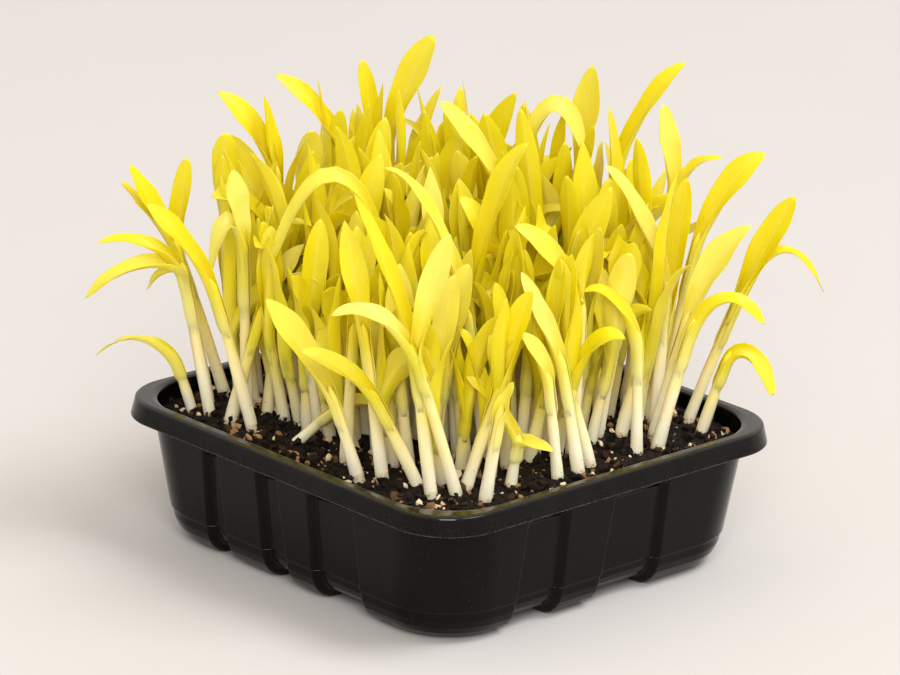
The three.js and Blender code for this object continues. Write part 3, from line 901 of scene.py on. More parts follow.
@dataclass
class GrowingMedium:
    """The peat that fills the tray, with loose crumbs and mineral chips on it.

    A clump is its size, its height and the seed of its noise. Loose pieces keep `margin` from the
    rim's edge, and where a place is beyond the field's round corner they are drawn inward.
    """

    tray: Tray
    level: float = 47.2
    edge_dip: float = 1.6
    corner_dip: float = 3.6
    gap: float = 0.3
    clumps: tuple[tuple[float, float, int], ...] = ((11.0, 0.9, 1), (4.6, 1.1, 2), (2.2, 0.9, 3))
    top_rings: int = 84
    hub_corner: float = 0.1
    hub_squeeze: float = 0.02
    rough_share: float = 0.3
    rough_from: float = 0.03
    margin: float = 5.0
    corner_square: float = 22.0
    corner_round: float = 20.0
    corner_pull: float = 0.94
    corner_power: float = 0.3
    chips: int = 760
    chip_size: tuple[float, float] = (0.6, 2.2)
    chip_seed: int = 12
    crumbs: int = 2400
    crumb_size: tuple[float, float] = (0.7, 2.7)
    crumb_seed: int = 11
    small_bias: float = 2.2
    dents: tuple[float, float] = (0.5, 1.25)
    squash: tuple[float, float] = (0.3, 1.15)
    above_ground: float = 0.35

    def level_at(self, x: Number, y: Number) -> Number:
        """Height of the smooth peat: lower by the edge, lowest where x and y are both far out."""
        edge = np.maximum(np.abs(x) / self.tray.half_x, np.abs(y) / self.tray.half_y)
        corner = (x / self.tray.half_x) * (y / self.tray.half_y)
        return self.level - self.edge_dip * edge**4 - self.corner_dip * smooth(corner)

    def height(self, x: np.ndarray, y: np.ndarray) -> np.ndarray:
        """Height of the peat with its clumps: the smooth height plus noise of three sizes."""
        rough = sum(high * value_noise(x, y, size, seed) for size, high, seed in self.clumps)
        return self.level_at(x, y) + rough

    def build_bed(self) -> bpy.types.Object:
        """Builds the peat itself, from its underside up the walls and in over its top."""
        tray, depth = self.tray, self.tray.sheet + self.gap
        floor = tray.arch_lift + tray.sheet + self.gap
        slope = tray.flute_top_z - tray.flute_slope
        edge = tray.wall(tray.flute_top_z, depth, 0)
        sides = [
            Ring(floor, tray.half_y, self.hub_corner, squeeze=self.hub_squeeze),
            Ring(floor, tray.foot_inset + tray.arch_lift + self.gap, tray.foot_corner - tray.arch_lift),
            *tray.foot_rings(depth, 30, 0, 3),
            tray.wall(slope, depth, tray.flute_depth),
            edge,
        ]
        shares = np.linspace(1, 0, self.top_rings)
        tops = [Ring(edge.z, mix(tray.half_y, edge.inset, s), edge.corner * s, squeeze=s) for s in shares]
        points = tray.surface(np.array([ring.row() for ring in [*sides, *tops]]))
        top = points[len(sides) :]
        x, y = top[..., 0], top[..., 1]
        fade = mix(self.rough_share, 1, smooth((1 - shares[:, None]) / self.rough_from))
        top[..., 2] = mix(self.level_at(x, y), self.height(x, y), fade)
        shape = Shape()
        shape.add_tube(points, {})
        return shape.piece("peat_bed", DampPeat().make(), Slot.PEAT, ["growing_medium"])

    def scattered(self, count: int, sizes: tuple[float, float], seed: int) -> Shape:
        """Loose pieces on the peat, each an icosahedron squashed, dented and turned at random.

        Args:
            count: how many there are.
            sizes: smallest and largest radius.
            seed: seed of the random numbers.

        Returns:
            Their shape, with a random `tint` for each piece.
        """
        draw = np.random.default_rng(seed)
        ball, faces = self.icosahedron()
        size = mix(*sizes, draw.random((count, 1, 1)) ** self.small_bias)
        dents, squash = draw.random((count, len(ball), 1)), draw.random((count, 1, 3))
        lumps = ball * size * mix(*self.dents, dents) * mix(*self.squash, squash)
        axes, _ = np.linalg.qr(draw.normal(size=(count, 3, 3)))
        axes *= np.sign(np.linalg.det(axes))[:, None, None]
        reach = np.array([self.tray.half_x, self.tray.half_y])[:, None] - self.margin
        spot = np.stack([draw.uniform(-side, side, count) for side in reach[:, 0]])
        beyond = np.hypot(*np.maximum(np.abs(spot) - reach + self.corner_square, 0))
        inward = np.minimum(1, self.corner_round / np.maximum(beyond, 1e-6))
        x, y = spot * np.where(beyond > self.corner_round, self.corner_pull * inward**self.corner_power, 1)
        z = self.height(x, y) + size[:, 0, 0] * self.above_ground
        points = lumps @ axes + np.column_stack([x, y, z])[:, None]
        index = faces[None] + len(ball) * np.arange(count)[:, None, None]
        tint = np.repeat(draw.random(count), len(ball))[:, None]
        shape = Shape()
        shape.add(points.reshape(-1, 3), index.reshape(-1, 4), {"tint": tint})
        return shape

    @staticmethod
    def icosahedron() -> tuple[np.ndarray, np.ndarray]:
        """An icosahedron: its corners are (0, +-1, +-golden) in turn along X, Y and Z.

        A face is three corners that are all nearest neighbours.

        Returns:
            The twelve corners on a unit sphere, and the twenty faces, each with its last corner
            repeated.
        """
        golden = (1 + math.sqrt(5)) / 2
        flat = np.array([(0, a, b) for a in (-1, 1) for b in (-golden, golden)])
        ball = unit(np.concatenate([np.roll(flat, turn, axis=1) for turn in range(3)]))
        near = ball @ ball.T > 0.4
        triples = combinations(range(len(ball)), 3)
        faces = np.array([(i, j, k) for i, j, k in triples if near[i, j] and near[j, k] and near[i, k]])
        a, b, c = (ball[corner] for corner in faces.T)
        inward = np.sum(a * np.cross(b, c), 1) < 0
        faces[inward] = faces[inward][:, [0, 2, 1]]
        return ball, np.column_stack([faces, faces[:, 2]])

    def build(self) -> None:
        """Builds the peat, its crumbs and its mineral chips."""
        self.build_bed()
        crumbs = self.scattered(self.crumbs, self.crumb_size, self.crumb_seed)
        crumbs.piece("peat_crumbs", DampPeat().make(), Slot.PEAT, rounded=False)
        chips = self.scattered(self.chips, self.chip_size, self.chip_seed)
        chips.piece("mineral_chips", MineralGrain().make(), Slot.PEAT, rounded=False)


# ---- Shoots ----------------------------------------------------------------------------------


@dataclass(frozen=True)
class Leaf:
    """A leaf: its tip, its width, how far it arches over the straight line from the collar to the
    tip, and how many degrees its face is turned about that line."""

    tip: Place
    width: float
    arch: float
    turn: float


@dataclass(frozen=True)
class Shoot:
    """A shoot: its base on the peat, its collar, where the leaves part, and the leaves."""

    name: str
    base: tuple[float, float]
    collar: Place
    leaves: tuple[Leaf, ...]


# Shoots with a place of their own. Each row has a name, a place on the peat, the stem's height,
# lean and bearing, and then the leaves: reach and rise from the collar, bearing, width, arch and
# turn. A bearing is in degrees, from +X toward +Y. The rest is in millimetres.
PLACED_SHOOTS: tuple[tuple, ...] = (
    ("low_left", (-62, -58), (18, 8, 225), (27, 1, 230, 3.5, 7, 0)),
    ("twin_left", (-54, -58), (52, 11, 230), (29, 8, 225, 6, 5, -10), (33, -9, 240, 8.5, 6, -25),
     (14, -10, 200, 6, 3, -20)),
    ("lean_left", (-32, -57), (50, 16, 230), (22, 29, 235, 8, 3, -35)),
    ("far_left", (-64, -50), (55, 13, 225), (16, 29, 230, 8, 0, -45), (19, 22, 220, 5, 1, -20)),
    ("upright_left", (-66, -40), (53, 20, 225), (4, 31, 45, 7, 0, 60)),
    ("upright_second", (-66, -28), (60, 12, 225), (3, 31, 315, 9, 1, 20)),
    ("back_left", (-66, -14), (72, 5, 225), (21, 29, 225, 8, 5, -40), (5, 28, 225, 6, 0, -50)),
    ("arch_back", (-60, 8), (76, 2, 225), (25, 28, 225, 6.5, 5, -30)),
    ("pointed_back", (-60, 26), (79, 6, 225), (5, 28, 225, 6.5, 1, -60)),
    ("tallest", (-66, 46), (73, 13, 225), (16, 38, 45, 11, 3, 70)),
    ("pale_back", (8, 26), (72, 7, 215), (23, 34, 225, 8, 4, -30)),
    ("crown", (-22, 62), (72, 13, 50), (3, 36, 45, 11, 1, 65)),
    ("feather", (-4, 62), (73, 20, 95), (22, 36, 50, 6.5, 6, 35)),
    ("back_right", (20, 62), (71, 19, 80), (5, 30, 225, 8, 1, -55), (16, 12, 40, 6, 4, 10)),
    ("broad_right", (38, 60), (60, 13, 60), (22, 32, 45, 9.5, 6, 50)),
    ("edge_broad", (49, 62), (42, 18, 55), (18, 38, 45, 10.5, 2, 60), (29, 4, 50, 5, 17, 25)),
    ("low_right", (60, 58), (26, 10, 50), (16, -12, 45, 6.5, 8, 35)),
    ("flat_tip", (54, 42), (40, 11, 45), (21, 35, 45, 12, 6, 55)),
    ("hook_right", (64, 34), (42, 12, 55), (24, 2, 45, 6, 10, 20)),
    ("bent_back", (-14, 38), (77, 4, 45), (22, 5, 45, 7, 21, 35)),
    ("bright_middle", (42, -20), (50, 8, 225), (29, 50, 225, 7, 13, -30)),
    ("thin_arch", (-7, -38), (45, 5, 225), (17, 10, 225, 5, 4, -10)),
    ("lean_right", (-46, -60), (39, 12, 45), (14, 25, 45, 7.5, 2, 45)),
    ("big_arch", (-2, -26), (63, 2, 225), (38, -6, 230, 8.5, 29, -20)),
    ("folded", (-46, -50), (60, 4, 290), (11, -8, 240, 9, 13, -30), (4, 27, 225, 8, 1, -40)),
    ("pale_front", (54, 6), (51, 2, 45), (23, 28, 225, 7.5, 6, -35)),
    ("broad_middle", (20, -14), (53, 4, 50), (17, 51, 45, 10, 11, 45)),
    ("broad_upright", (38, 14), (48, 2, 50), (14, 40, 45, 10.5, 3, 60)),
    ("pale_right", (48, 50), (48, 3, 45), (22, 43, 225, 8, 7, -30)),
    ("right_arch", (66, 25), (39, 1, 225), (19, 17, 225, 6, 8, -10)),
    ("right_broad", (66, 6), (38, 13, 225), (3, 35, 45, 11, 1, 65)),
    ("right_lean", (69, -3), (38, 8, 225), (14, 31, 225, 6.5, 1, -40)),
    ("right_second", (68, -12), (34, 5, 225), (10, 16, 225, 6.5, 3, -40)),
    ("front_short", (67, -46), (29, 5, 45), (4, 12, 45, 5, 0, 50)),
    ("sprout", (62, -30), (15, 3, 45), (13, -1, 20, 3.5, 1, 25), (18, 21, 215, 4.5, 3, -20)),
    ("front_right", (54, -44), (34, 12, 50), (10, 34, 45, 9, 4, 60)),
    ("front_arch", (60, -48), (50, 18, 246), (27, 13, 232, 8.5, 7, -20), (11, 40, 60, 9.5, 2, 65)),
    ("front_upright", (56, -57), (49, 9, 200), (20, 52, 225, 7, 4, -30)),
    ("front_lean", (48, -52), (32, 19, 235), (24, 16, 235, 6.5, 3, -35)),
    ("second_upright", (30, -22), (34, 4, 225), (6, 37, 45, 8, 1, 50)),
    ("broad_left", (26, -61), (28, 11, 235), (22, 33, 230, 10, 2, -60)),
    ("crossing", (-18, -62), (15, 22, 30), (25, 0, 30, 4, 4, 30)),
    ("front_second", (32, -57), (50, 8, 225), (7, 38, 225, 9, 1, -60)),
    ("front_third", (12, -57), (46, 2, 45), (6, 36, 45, 8, 1, 60)),
)

# Placed shoots that are paler than the rest.
PALE_SHOOTS = frozenset(
    ("folded", "lean_right", "big_arch", "thin_arch", "front_arch", "bright_middle", "pale_back")
    + ("pale_front", "pale_right", "bent_back", "right_lean", "low_left")
)


@dataclass(frozen=True)
class Sowing:
    """How shoots are spread: their spacing, the room they keep, and the ranges of their sizes.

    Shoots are sown until `count` stand in all, or MOST_TRIES places have been tried. They keep
    `margin` from the field's edge and `front_margin` from its front sides, those toward +X and -Y.
    Toward these sides they shrink to `front_share`, between the two distances of `front_reach`
    from the middle. A shoot that isn't clear of the rest is turned, for `attempts` headings in
    all. Then it is left out if the sowing must `insist` on room, and planted all the same if not.

    A collar stands `spread` times as far out as its base, and up to `sway` off that. A leaf's tip
    sinks by `droop` times its reach. A second leaf heads the opposite way, give or take half of
    `leaf_stray` degrees.
    """

    count: int
    spacing: float
    stem_room: float
    leaf_room: float
    margin: float = 0.0
    front_margin: float = 0.0
    front_share: float = 1.0
    front_reach: tuple[float, float] = (-60.0, 80.0)
    attempts: int = 20
    insist: bool = True
    spread: float = 1.1
    sway: float = 9.0
    stem_rise: tuple[float, float] = (46.0, 64.0)
    leaf_reach: tuple[float, float] = (5.0, 24.0)
    leaf_rise: tuple[float, float] = (28.0, 44.0)
    leaf_width: tuple[float, float] = (7.5, 10.0)
    leaf_arch: tuple[float, float] = (1.0, 5.0)
    leaf_turn: float = 70.0
    leaf_stray: float = 57.0
    droop: float = 0.9
    one_leaf_share: float = 0.3


SPARSE = Sowing(count=58, spacing=9.0, stem_room=2.4, leaf_room=1.6)
DENSE = Sowing(
    count=250,
    spacing=5.8,
    stem_room=1.9,
    leaf_room=0.6,
    margin=8.0,
    front_margin=19.0,
    front_share=0.68,
    attempts=3,
    insist=False,
    sway=10.0,
    stem_rise=(26.0, 52.0),
    leaf_reach=(6.0, 30.0),
    leaf_rise=(42.0, 68.0),
    leaf_width=(7.5, 10.5),
    leaf_turn=80.0,
    one_leaf_share=0.1,
)


def off(place: Place, distance: float, bearing: float, rise: float) -> Place:
    """The place that lies a distance off toward a bearing in degrees, and so much higher."""
    angle = math.radians(bearing)
    return place[0] + distance * math.cos(angle), place[1] + distance * math.sin(angle), place[2] + rise


class Trait(IntEnum):
    """What differs from one sown shoot to the next, each by a sequence of shares of its own."""

    PLACE_X, PLACE_Y, BEARING, SWAY, HEIGHT, HEADING = range(6)
    LEAVES, STRAY, REACH, RISE, WIDTH, ARCH = range(6, 12)


def share(n: int, trait: int) -> float:
    """The share of 1 that the nth sown shoot has for a trait: n times an irrational number, less
    its whole part. Such shares spread evenly and never repeat."""
    irrationals = (1 / PLASTIC, 1 / PLASTIC**2, *(math.sqrt(prime) for prime in PRIMES))
    return n * irrationals[trait] % 1


@dataclass
class Planting:
    """Sets the shoots in the peat: the placed ones, then sown ones among them.

    A shoot is clear of the others where every point on its outline keeps its room from theirs.
    """

    medium: GrowingMedium
    field_x: float = 69.0
    field_y: float = 64.0
    field_corner: float = 22.0
    root_depth: float = 8.0
    stem_bend: float = 0.45
    stem_checks: int = 14
    leaf_checks: int = 10
    leaf_lanes: tuple[float, ...] = (-0.4, 0.0, 0.4)
    shoots: list[Shoot] = field(default_factory=list)

    def ground(self, base: tuple[float, float]) -> float:
        """Height of the peat at a shoot's base."""
        return float(self.medium.level_at(*base))

    def stem(self, shoot: Shoot, ways: np.ndarray) -> np.ndarray:
        """Points on a stem's middle line: upright at its buried end, then leaning to its collar."""
        root = np.array([*shoot.base, self.ground(shoot.base) - self.root_depth])
        top = np.array(shoot.collar, float)
        bend = np.array([*mix(root[:2], top[:2], self.stem_bend), (root[2] + top[2]) / 2])
        return bezier(root, bend, top, ways)

    @staticmethod
    def corners(shoot: Shoot, leaf: Leaf) -> tuple[np.ndarray, np.ndarray, np.ndarray]:
        """A leaf's start, bend and end. Its curve's middle is `arch` above the straight line."""
        start, end = np.array(shoot.collar, float), np.array(leaf.tip, float)
        return start, (start + end) / 2 + np.array([0, 0, 2 * leaf.arch]), end

    @staticmethod
    def axes(
        leaf: Leaf, collar: Place, tangents: np.ndarray, turns: Number
    ) -> tuple[np.ndarray, np.ndarray]:
        """The direction across a leaf and the one out of its upper face, for each tangent.

        `level` is horizontal and square to the leaf's heading, and `face` is tangent x level. Across
        is level cos(turn) + face sin(turn), and up is tangent x across.

        Args:
            leaf: the leaf.
            collar: where it starts.
            tangents: unit vectors along it.
            turns: how far its face is turned about each of them, in degrees.

        Returns:
            Unit vectors across it and up from it.
        """
        heading = unit(np.array([leaf.tip[0] - collar[0], leaf.tip[1] - collar[1], 0.0]))
        level = np.array([-heading[1], heading[0], 0.0])
        face = unit(np.cross(tangents, level))
        angle = np.radians(turns) * np.ones((len(tangents), 1))
        across = level * np.cos(angle) + face * np.sin(angle)
        up = unit(np.cross(tangents, across))
        return np.cross(up, tangents), up

    def outline(self, shoot: Shoot, stem_room: float, leaf_room: float) -> np.ndarray:
        """Rows of x, y, z and room for points on a shoot, to tell whether two shoots are clear.

        The points are spread evenly over the stem and over three lanes of each leaf. The stem's
        first one is left out, because it lies in the peat.

        Args:
            shoot: the shoot.
            stem_room: the room that a point on the stem keeps.
            leaf_room: the room that a point on a leaf keeps.

        Returns:
            A row for each point.
        """
        stem = self.stem(shoot, np.arange(2, self.stem_checks + 1) / self.stem_checks)
        rows = [np.column_stack([stem, np.full(len(stem), stem_room)])]
        ways = np.arange(1, self.leaf_checks + 1) / self.leaf_checks
        for leaf in shoot.leaves:
            start, bend, end = self.corners(shoot, leaf)
            slope = (1 - ways[:, None]) * (bend - start) + ways[:, None] * (end - bend)
            across, _ = self.axes(leaf, shoot.collar, unit(slope), leaf.turn)
            for lane in self.leaf_lanes:
                points = bezier(start, bend, end, ways) + across * lane * leaf.width
                rows.append(np.column_stack([points, np.full(len(points), leaf_room)]))
        return np.concatenate(rows)

    @staticmethod
    def clear(one: np.ndarray, others: np.ndarray) -> bool:
        """Tells whether every point keeps its room from the others."""
        room = 2 * others[:, 3].max()
        low, high = one[:, :3].min(0) - room, one[:, :3].max(0) + room
        near = others[np.all((others[:, :3] > low) & (others[:, :3] < high), axis=1)]
        gaps = np.linalg.norm(one[:, None, :3] - near[None, :, :3], axis=2)
        return bool(np.all(gaps > one[:, None, 3] + near[None, :, 3]))

    def placed(
        self, name: str, base: tuple[float, float], stem: Place, *leaves: Sequence[float]
    ) -> Shoot:
        """The shoot of a row of placed shoots, with its collar and its leaves' tips worked out."""
        height, lean, bearing = stem
        collar = off((*base, self.ground(base)), lean, bearing, height)
        tips = [(off(collar, reach, toward, rise), rest) for reach, rise, toward, *rest in leaves]
        return Shoot(name, base, collar, tuple(Leaf(tip, *rest) for tip, rest in tips))

    def sown(self, n: int, attempt: int, sowing: Sowing) -> Shoot:
        """The nth sown shoot, with its leaves headed another way at each new attempt.

        Args:
            n: its number in the sequence.
            attempt: how many headings have been tried before.
            sowing: the ranges that it is taken from.

        Returns:
            The shoot.
        """
        x = self.field_x * (2 * share(n, Trait.PLACE_X) - 1)
        y = self.field_y * (2 * share(n, Trait.PLACE_Y) - 1)
        over = (x * sowing.spread, y * sowing.spread, self.ground((x, y)))
        to_front = step_between((x - y) / math.sqrt(2), *sowing.front_reach)
        grown = mix(1, sowing.front_share, to_front)
        height = mix(*sowing.stem_rise, share(n, Trait.HEIGHT)) * grown
        sway, bearing = sowing.sway * share(n, Trait.SWAY), ROUND * share(n, Trait.BEARING)
        collar = off(over, sway, bearing, height)
        heading = ROUND * share(n, Trait.HEADING) + attempt * GOLDEN_ANGLE
        width = mix(*sowing.leaf_width, share(n, Trait.WIDTH))
        leaves = []
        # The second leaf takes the shares that lie next to the first one's.
        for i in range(1 if share(n, Trait.LEAVES) < sowing.one_leaf_share else 2):
            way = heading + i * (ROUND / 2 + sowing.leaf_stray * (share(n, Trait.STRAY) - 0.5))
            reach = mix(*sowing.leaf_reach, share(n, Trait.REACH + i) ** 2) * grown
            rise = mix(*sowing.leaf_rise, share(n, Trait.RISE - i)) * grown - reach * sowing.droop
            arch = mix(*sowing.leaf_arch, share(n, Trait.ARCH)) + reach * sowing.droop / 4
            turn = sowing.leaf_turn * (2 * share(n, Trait.STRAY + i) - 1)
            leaves.append(Leaf(off(collar, reach, way, rise), width, arch, turn))
        return Shoot(f"sown_{n:03d}", (x, y), collar, tuple(leaves))

    def inland(self, x: float, y: float) -> float:
        """How far a place on the ground lies behind the front sides, those toward +X and -Y."""
        return min(self.field_x - x, self.field_y + y)

    def in_field(self, x: float, y: float, margin: float) -> bool:
        """Tells whether a place is on the sown ground, a rectangle with round corners."""
        beyond_x = max(abs(x) - self.field_x + margin + self.field_corner, 0)
        beyond_y = max(abs(y) - self.field_y + margin + self.field_corner, 0)
        return math.hypot(beyond_x, beyond_y) < self.field_corner

    def sow(self, sowing: Sowing, first: int) -> int:
        """Adds shoots, each clear of every shoot before it if one of its headings is.

        Args:
            sowing: their count, spacing, room and sizes.
            first: the first number of the sequence to try.

        Returns:
            The next number to try.
        """
        rooms = (sowing.stem_room, sowing.leaf_room)
        taken = np.concatenate([self.outline(each, *rooms) for each in self.shoots])
        n = first
        while len(self.shoots) < sowing.count and n < MOST_TRIES:
            base = self.sown(n, 0, sowing).base
            gap = min(math.dist(each.base, base) for each in self.shoots)
            inside = self.in_field(*base, sowing.margin) and self.inland(*base) >= sowing.front_margin
            for attempt in range(sowing.attempts if inside and gap >= sowing.spacing else 0):
                each = self.sown(n, attempt, sowing)
                points = self.outline(each, *rooms)
                last = attempt == sowing.attempts - 1 and not sowing.insist
                if last or self.clear(points, taken):
                    self.shoots.append(each)
                    taken = np.concatenate([taken, points])
                    break
            n += 1
        return n

    def plant(self) -> None:
        """Plants the placed shoots, the sparse ones of the frame, and the dense ones among them."""
        self.shoots = [self.placed(*row) for row in PLACED_SHOOTS]
        after = self.sow(SPARSE, 1)
        self.sow(DENSE, after)
        log.info("planted %d shoots", len(self.shoots))


@dataclass
class ShootMaker:
    """Makes the flesh of shoots: a tube for the stem, and thin curled shells for the leaves.

    A leaf leaves its stem as a sheath, a tube that is open on one side. The sheath unrolls into a
    channelled blade, which flattens and narrows to a blunt tip. A share of a stem runs from 0 at
    its root to 1 at its collar, and one of a blade from 0 at the collar to 1 at the tip. Wraps are
    in degrees.
    """

    planting: Planting
    stem_radius: float = 2.25
    collar_radius: float = 1.7
    stem_sides: int = 10
    stem_rings: int = 15
    stem_unevenness: float = 0.05
    stem_ovalness: float = 0.07
    stem_waves: tuple[float, float] = (1.0, 2.5)
    spear: float = 4.5
    spear_lengths: tuple[float, float] = (0.5, 1.0)
    spear_ways: tuple[float, ...] = (0.35, 0.7, 1.0)
    spear_radii: tuple[float, ...] = (0.8, 0.5, 0.15)
    spear_share: float = 0.12
    coat: float = 0.1
    coat_inset: float = 0.08
    coat_end: tuple[float, float] = (0.5, 0.68)
    coat_fade: float = 0.06
    sheath_start: tuple[float, ...] = (0.66, 0.82, 0.9)
    sheath_stray: float = 0.05
    sheath_tuck: float = -0.35
    tuck_end: float = 0.3
    sheath_gap: float = 0.22
    outer_gap: float = 0.16
    sheath_wrap: float = 300.0
    blade_wrap: float = 62.0
    tip_wrap: float = 40.0
    tip_from: float = 0.6
    opening: tuple[float, float] = (-0.12, 0.78)
    fullness: float = 1.06
    full_at: float = 0.68
    widest: tuple[float, float] = (0.46, 0.68)
    narrowing: float = 1.9
    tip_cut: float = 0.998
    bluntness: tuple[float, float] = (0.5, 0.95)
    sheath_points: int = 9
    blade_points: int = 25
    easing_passes: int = 8
    blade_rows: int = 26
    end_closeness: float = 0.35
    spans: tuple[float, ...] = (-1, -0.95, -0.62, -0.16, 0, 0.16, 0.62, 0.95, 1)
    thickness: tuple[float, float] = (0.16, 0.36)
    tip_thinness: float = 0.4
    rib_height: float = 0.2
    rib_width: float = 0.12
    rib_fade: float = 0.7
    rib_inside: float = 0.3
    ripple: float = 0.5
    ripple_turns: tuple[float, float] = (1.2, 2.6)
    ripple_lag: float = 0.37
    twist: float = 26.0
    grain_room: float = 400.0
    grain_step: float = 0.8
    tint_scatter: float = 0.12
    tint_end: float = 0.5
    # The inner shoots' lower tints are painted shade and yellow bounce light inside the canopy.
    inner_shade_tints: tuple[float, float] = (0.05, 0.55)
    outer_tints: tuple[float, float] = (0.2, 0.65)
    pale_tints: tuple[float, float] = (0.7, 0.9)

    def frames(self, tangents: np.ndarray) -> tuple[np.ndarray, np.ndarray]:
        """Two directions square to each tangent and to each other, for a stem that leans little."""
        side = unit(np.cross(np.array([0.0, 1.0, 0.0]), tangents))
        return side, np.cross(tangents, side)

    def add_stem(self, shape: Shape, shoot: Shoot, tint: float, draw: np.random.Generator) -> None:
        """Adds a stem: rings of radius mix(stem, collar, way), slightly oval and uneven, that close
        over the collar in the rolled spear of the next leaf.

        Args:
            shape: what it is added to.
            shoot: the shoot.
            tint: its place between deep and pale.
            draw: source of random numbers.
        """
        ways = np.linspace(0, 1, self.stem_rings)
        line = self.planting.stem(shoot, ways)
        ahead = unit(line[-1] - line[-2])
        tail = np.array(self.spear_ways)
        spear = self.spear * draw.uniform(*self.spear_lengths)
        line = np.concatenate([line, line[-1] + ahead * tail[:, None] * spear])
        side, other = self.frames(unit(np.gradient(line, axis=0)))
        reach = np.concatenate([ways, 1 + tail * self.spear_share])
        radius = mix(self.stem_radius, self.collar_radius, np.clip(reach, 0, 1))
        radius[-len(tail) :] *= np.array(self.spear_radii)
        waves = np.sin(TURN * (reach * draw.uniform(*self.stem_waves) + draw.random()))
        coat = self.coat * (1 - smooth((reach - draw.uniform(*self.coat_end)) / self.coat_fade))
        radius = radius * (1 + self.stem_unevenness * waves) + coat - self.coat_inset
        angle = np.arange(self.stem_sides) / self.stem_sides * TURN
        oval = 1 + self.stem_ovalness * np.cos(2 * angle + draw.random() * TURN)
        across, up = radius[:, None] * np.cos(angle) * oval, radius[:, None] * np.sin(angle) * oval
        points = line[:, None] + across[..., None] * side[:, None] + up[..., None] * other[:, None]
        ground = self.planting.ground(shoot.base)
        plain = np.zeros(across.shape)
        height = (line[:, 2] - ground) / (shoot.collar[2] - ground)
        seed = draw.uniform(0, self.grain_room)
        grain = np.stack([across, up + seed, plain + lengths_along(line)[:, None]], -1)
        features = {"growth": plain + height[:, None], "tint": plain + tint, "rib": plain, "grain": grain}
        shape.add_tube(points, features)

    def spine(self, shoot: Shoot, leaf: Leaf, start: float) -> tuple[np.ndarray, np.ndarray, float]:
        """A leaf's middle line with its sheath's: up the stem from a start, then out along the leaf.

        The two stretches are joined, eased by averaging each point with its neighbours, and spaced
        anew so that the rows are closer together at both ends.

        Args:
            shoot: the shoot.
            leaf: the leaf.
            start: the way along the stem where the sheath begins.

        Returns:
            The rows' places, their shares of the whole length, and the share at the collar.
        """
        sheath = self.planting.stem(shoot, np.linspace(start, 1, self.sheath_points))
        corners = self.planting.corners(shoot, leaf)
        blade = bezier(*corners, np.linspace(0, 1, self.blade_points))[1:]
        line = np.concatenate([sheath, blade])
        for _ in range(self.easing_passes):
            line[1:-1] = (line[:-2] + 2 * line[1:-1] + line[2:]) / 4
        lengths = lengths_along(line)
        shares = lengths / lengths[-1]
        even = np.linspace(0, 1, self.blade_rows)
        ways = mix(even, smooth(even), self.end_closeness)
        rows = np.stack([np.interp(ways, shares, line[:, axis]) for axis in range(3)], 1)
        return rows, ways, float(shares[len(sheath) - 1])

    def half_widths(
        self, leaf: Leaf, hug: np.ndarray, free: np.ndarray, draw: np.random.Generator
    ) -> tuple[np.ndarray, np.ndarray]:
        """Half the width of each of a leaf's rows, and how much of it the narrowing leaves.

        The width goes from the rolled sheath's to the blade's. Past its widest place it narrows by
        (1 - t^narrowing)^bluntness, where t goes from 0 there to 1 at the tip.

        Args:
            leaf: the leaf.
            hug: radius of the sheath at each row.
            free: how far along the blade each row is, below 0 on the sheath.
            draw: source of random numbers.

        Returns:
            The half widths and the shares left.
        """
        widest = draw.uniform(*self.widest)
        past = np.clip((free - widest) / (1 - widest), 0, self.tip_cut)
        fade = (1 - past**self.narrowing) ** draw.uniform(*self.bluntness)
        rolled, full = hug * math.radians(self.sheath_wrap) / 2, leaf.width / 2 * self.fullness
        return mix(rolled, full, smooth(free / self.full_at)) * fade, fade

    def add_leaf(
        self,
        shape: Shape,
        shoot: Shoot,
        leaf: Leaf,
        order: int,
        tints: tuple[float, float],
        draw: np.random.Generator,
    ) -> None:
        """Adds a leaf with its sheath.

        Across each row the shell is an arc of a circle. Its length is twice the half width b, which
        goes from the sheath's to the blade's and fades to the tip, and its wrap falls from
        `sheath_wrap` to `blade_wrap` and `tip_wrap`, so the circle's radius is R = 2b / wrap. For a
        span s from -1 to 1 the arc's point is R((1 - cos a) up + sin a across), with a = s wrap / 2.

        Args:
            shape: what it is added to.
            shoot: the shoot.
            leaf: the leaf.
            order: 0 for the outer leaf, 1 for the next.
            tints: the places of its sheath and of its blade between deep and pale.
            draw: source of random numbers.
        """
        start = self.sheath_start[order] + draw.uniform(-self.sheath_stray, self.sheath_stray)
        spine, ways, collar = self.spine(shoot, leaf, start)
        free = (ways - collar) / (1 - collar)
        up_stem = mix(start, 1, np.clip(ways / collar, 0, 1))
        tangents = unit(np.gradient(spine, axis=0))
        turns = leaf.turn + self.twist * draw.uniform(-1, 1) * smooth(free)
        across, up = self.planting.axes(leaf, shoot.collar, tangents, turns[:, None])
        opened = step_between(free, *self.opening)
        unrolled = mix(self.sheath_wrap, self.blade_wrap, opened)
        wrap = np.radians(mix(unrolled, self.tip_wrap, step_between(free, self.tip_from, 1.0)))
        gap = self.sheath_gap + self.outer_gap * (1 - order)
        stem = mix(self.stem_radius, self.collar_radius, up_stem)
        hug = stem + mix(self.sheath_tuck, gap, smooth(ways / collar / self.tuck_end))
        half, fade = self.half_widths(leaf, hug, free, draw)
        radius = half * 2 / wrap
        spans = np.array([*self.spans, *reversed(self.spans)])
        face = np.repeat([1.0, -1.0], len(self.spans))
        angle = spans * wrap[:, None] / 2
        sine, cosine = np.sin(angle), np.cos(angle)
        rise = radius[:, None] * (1 - cosine) - hug[:, None] * (1 - opened[:, None])
        along = free[:, None] * draw.uniform(*self.ripple_turns) + draw.random()
        waves = np.sin(TURN * (along + self.ripple_lag * (spans > 0)))
        rise = rise + self.ripple * waves * np.abs(spans) ** 3 * (opened * fade)[:, None]
        slide = radius[:, None] * sine
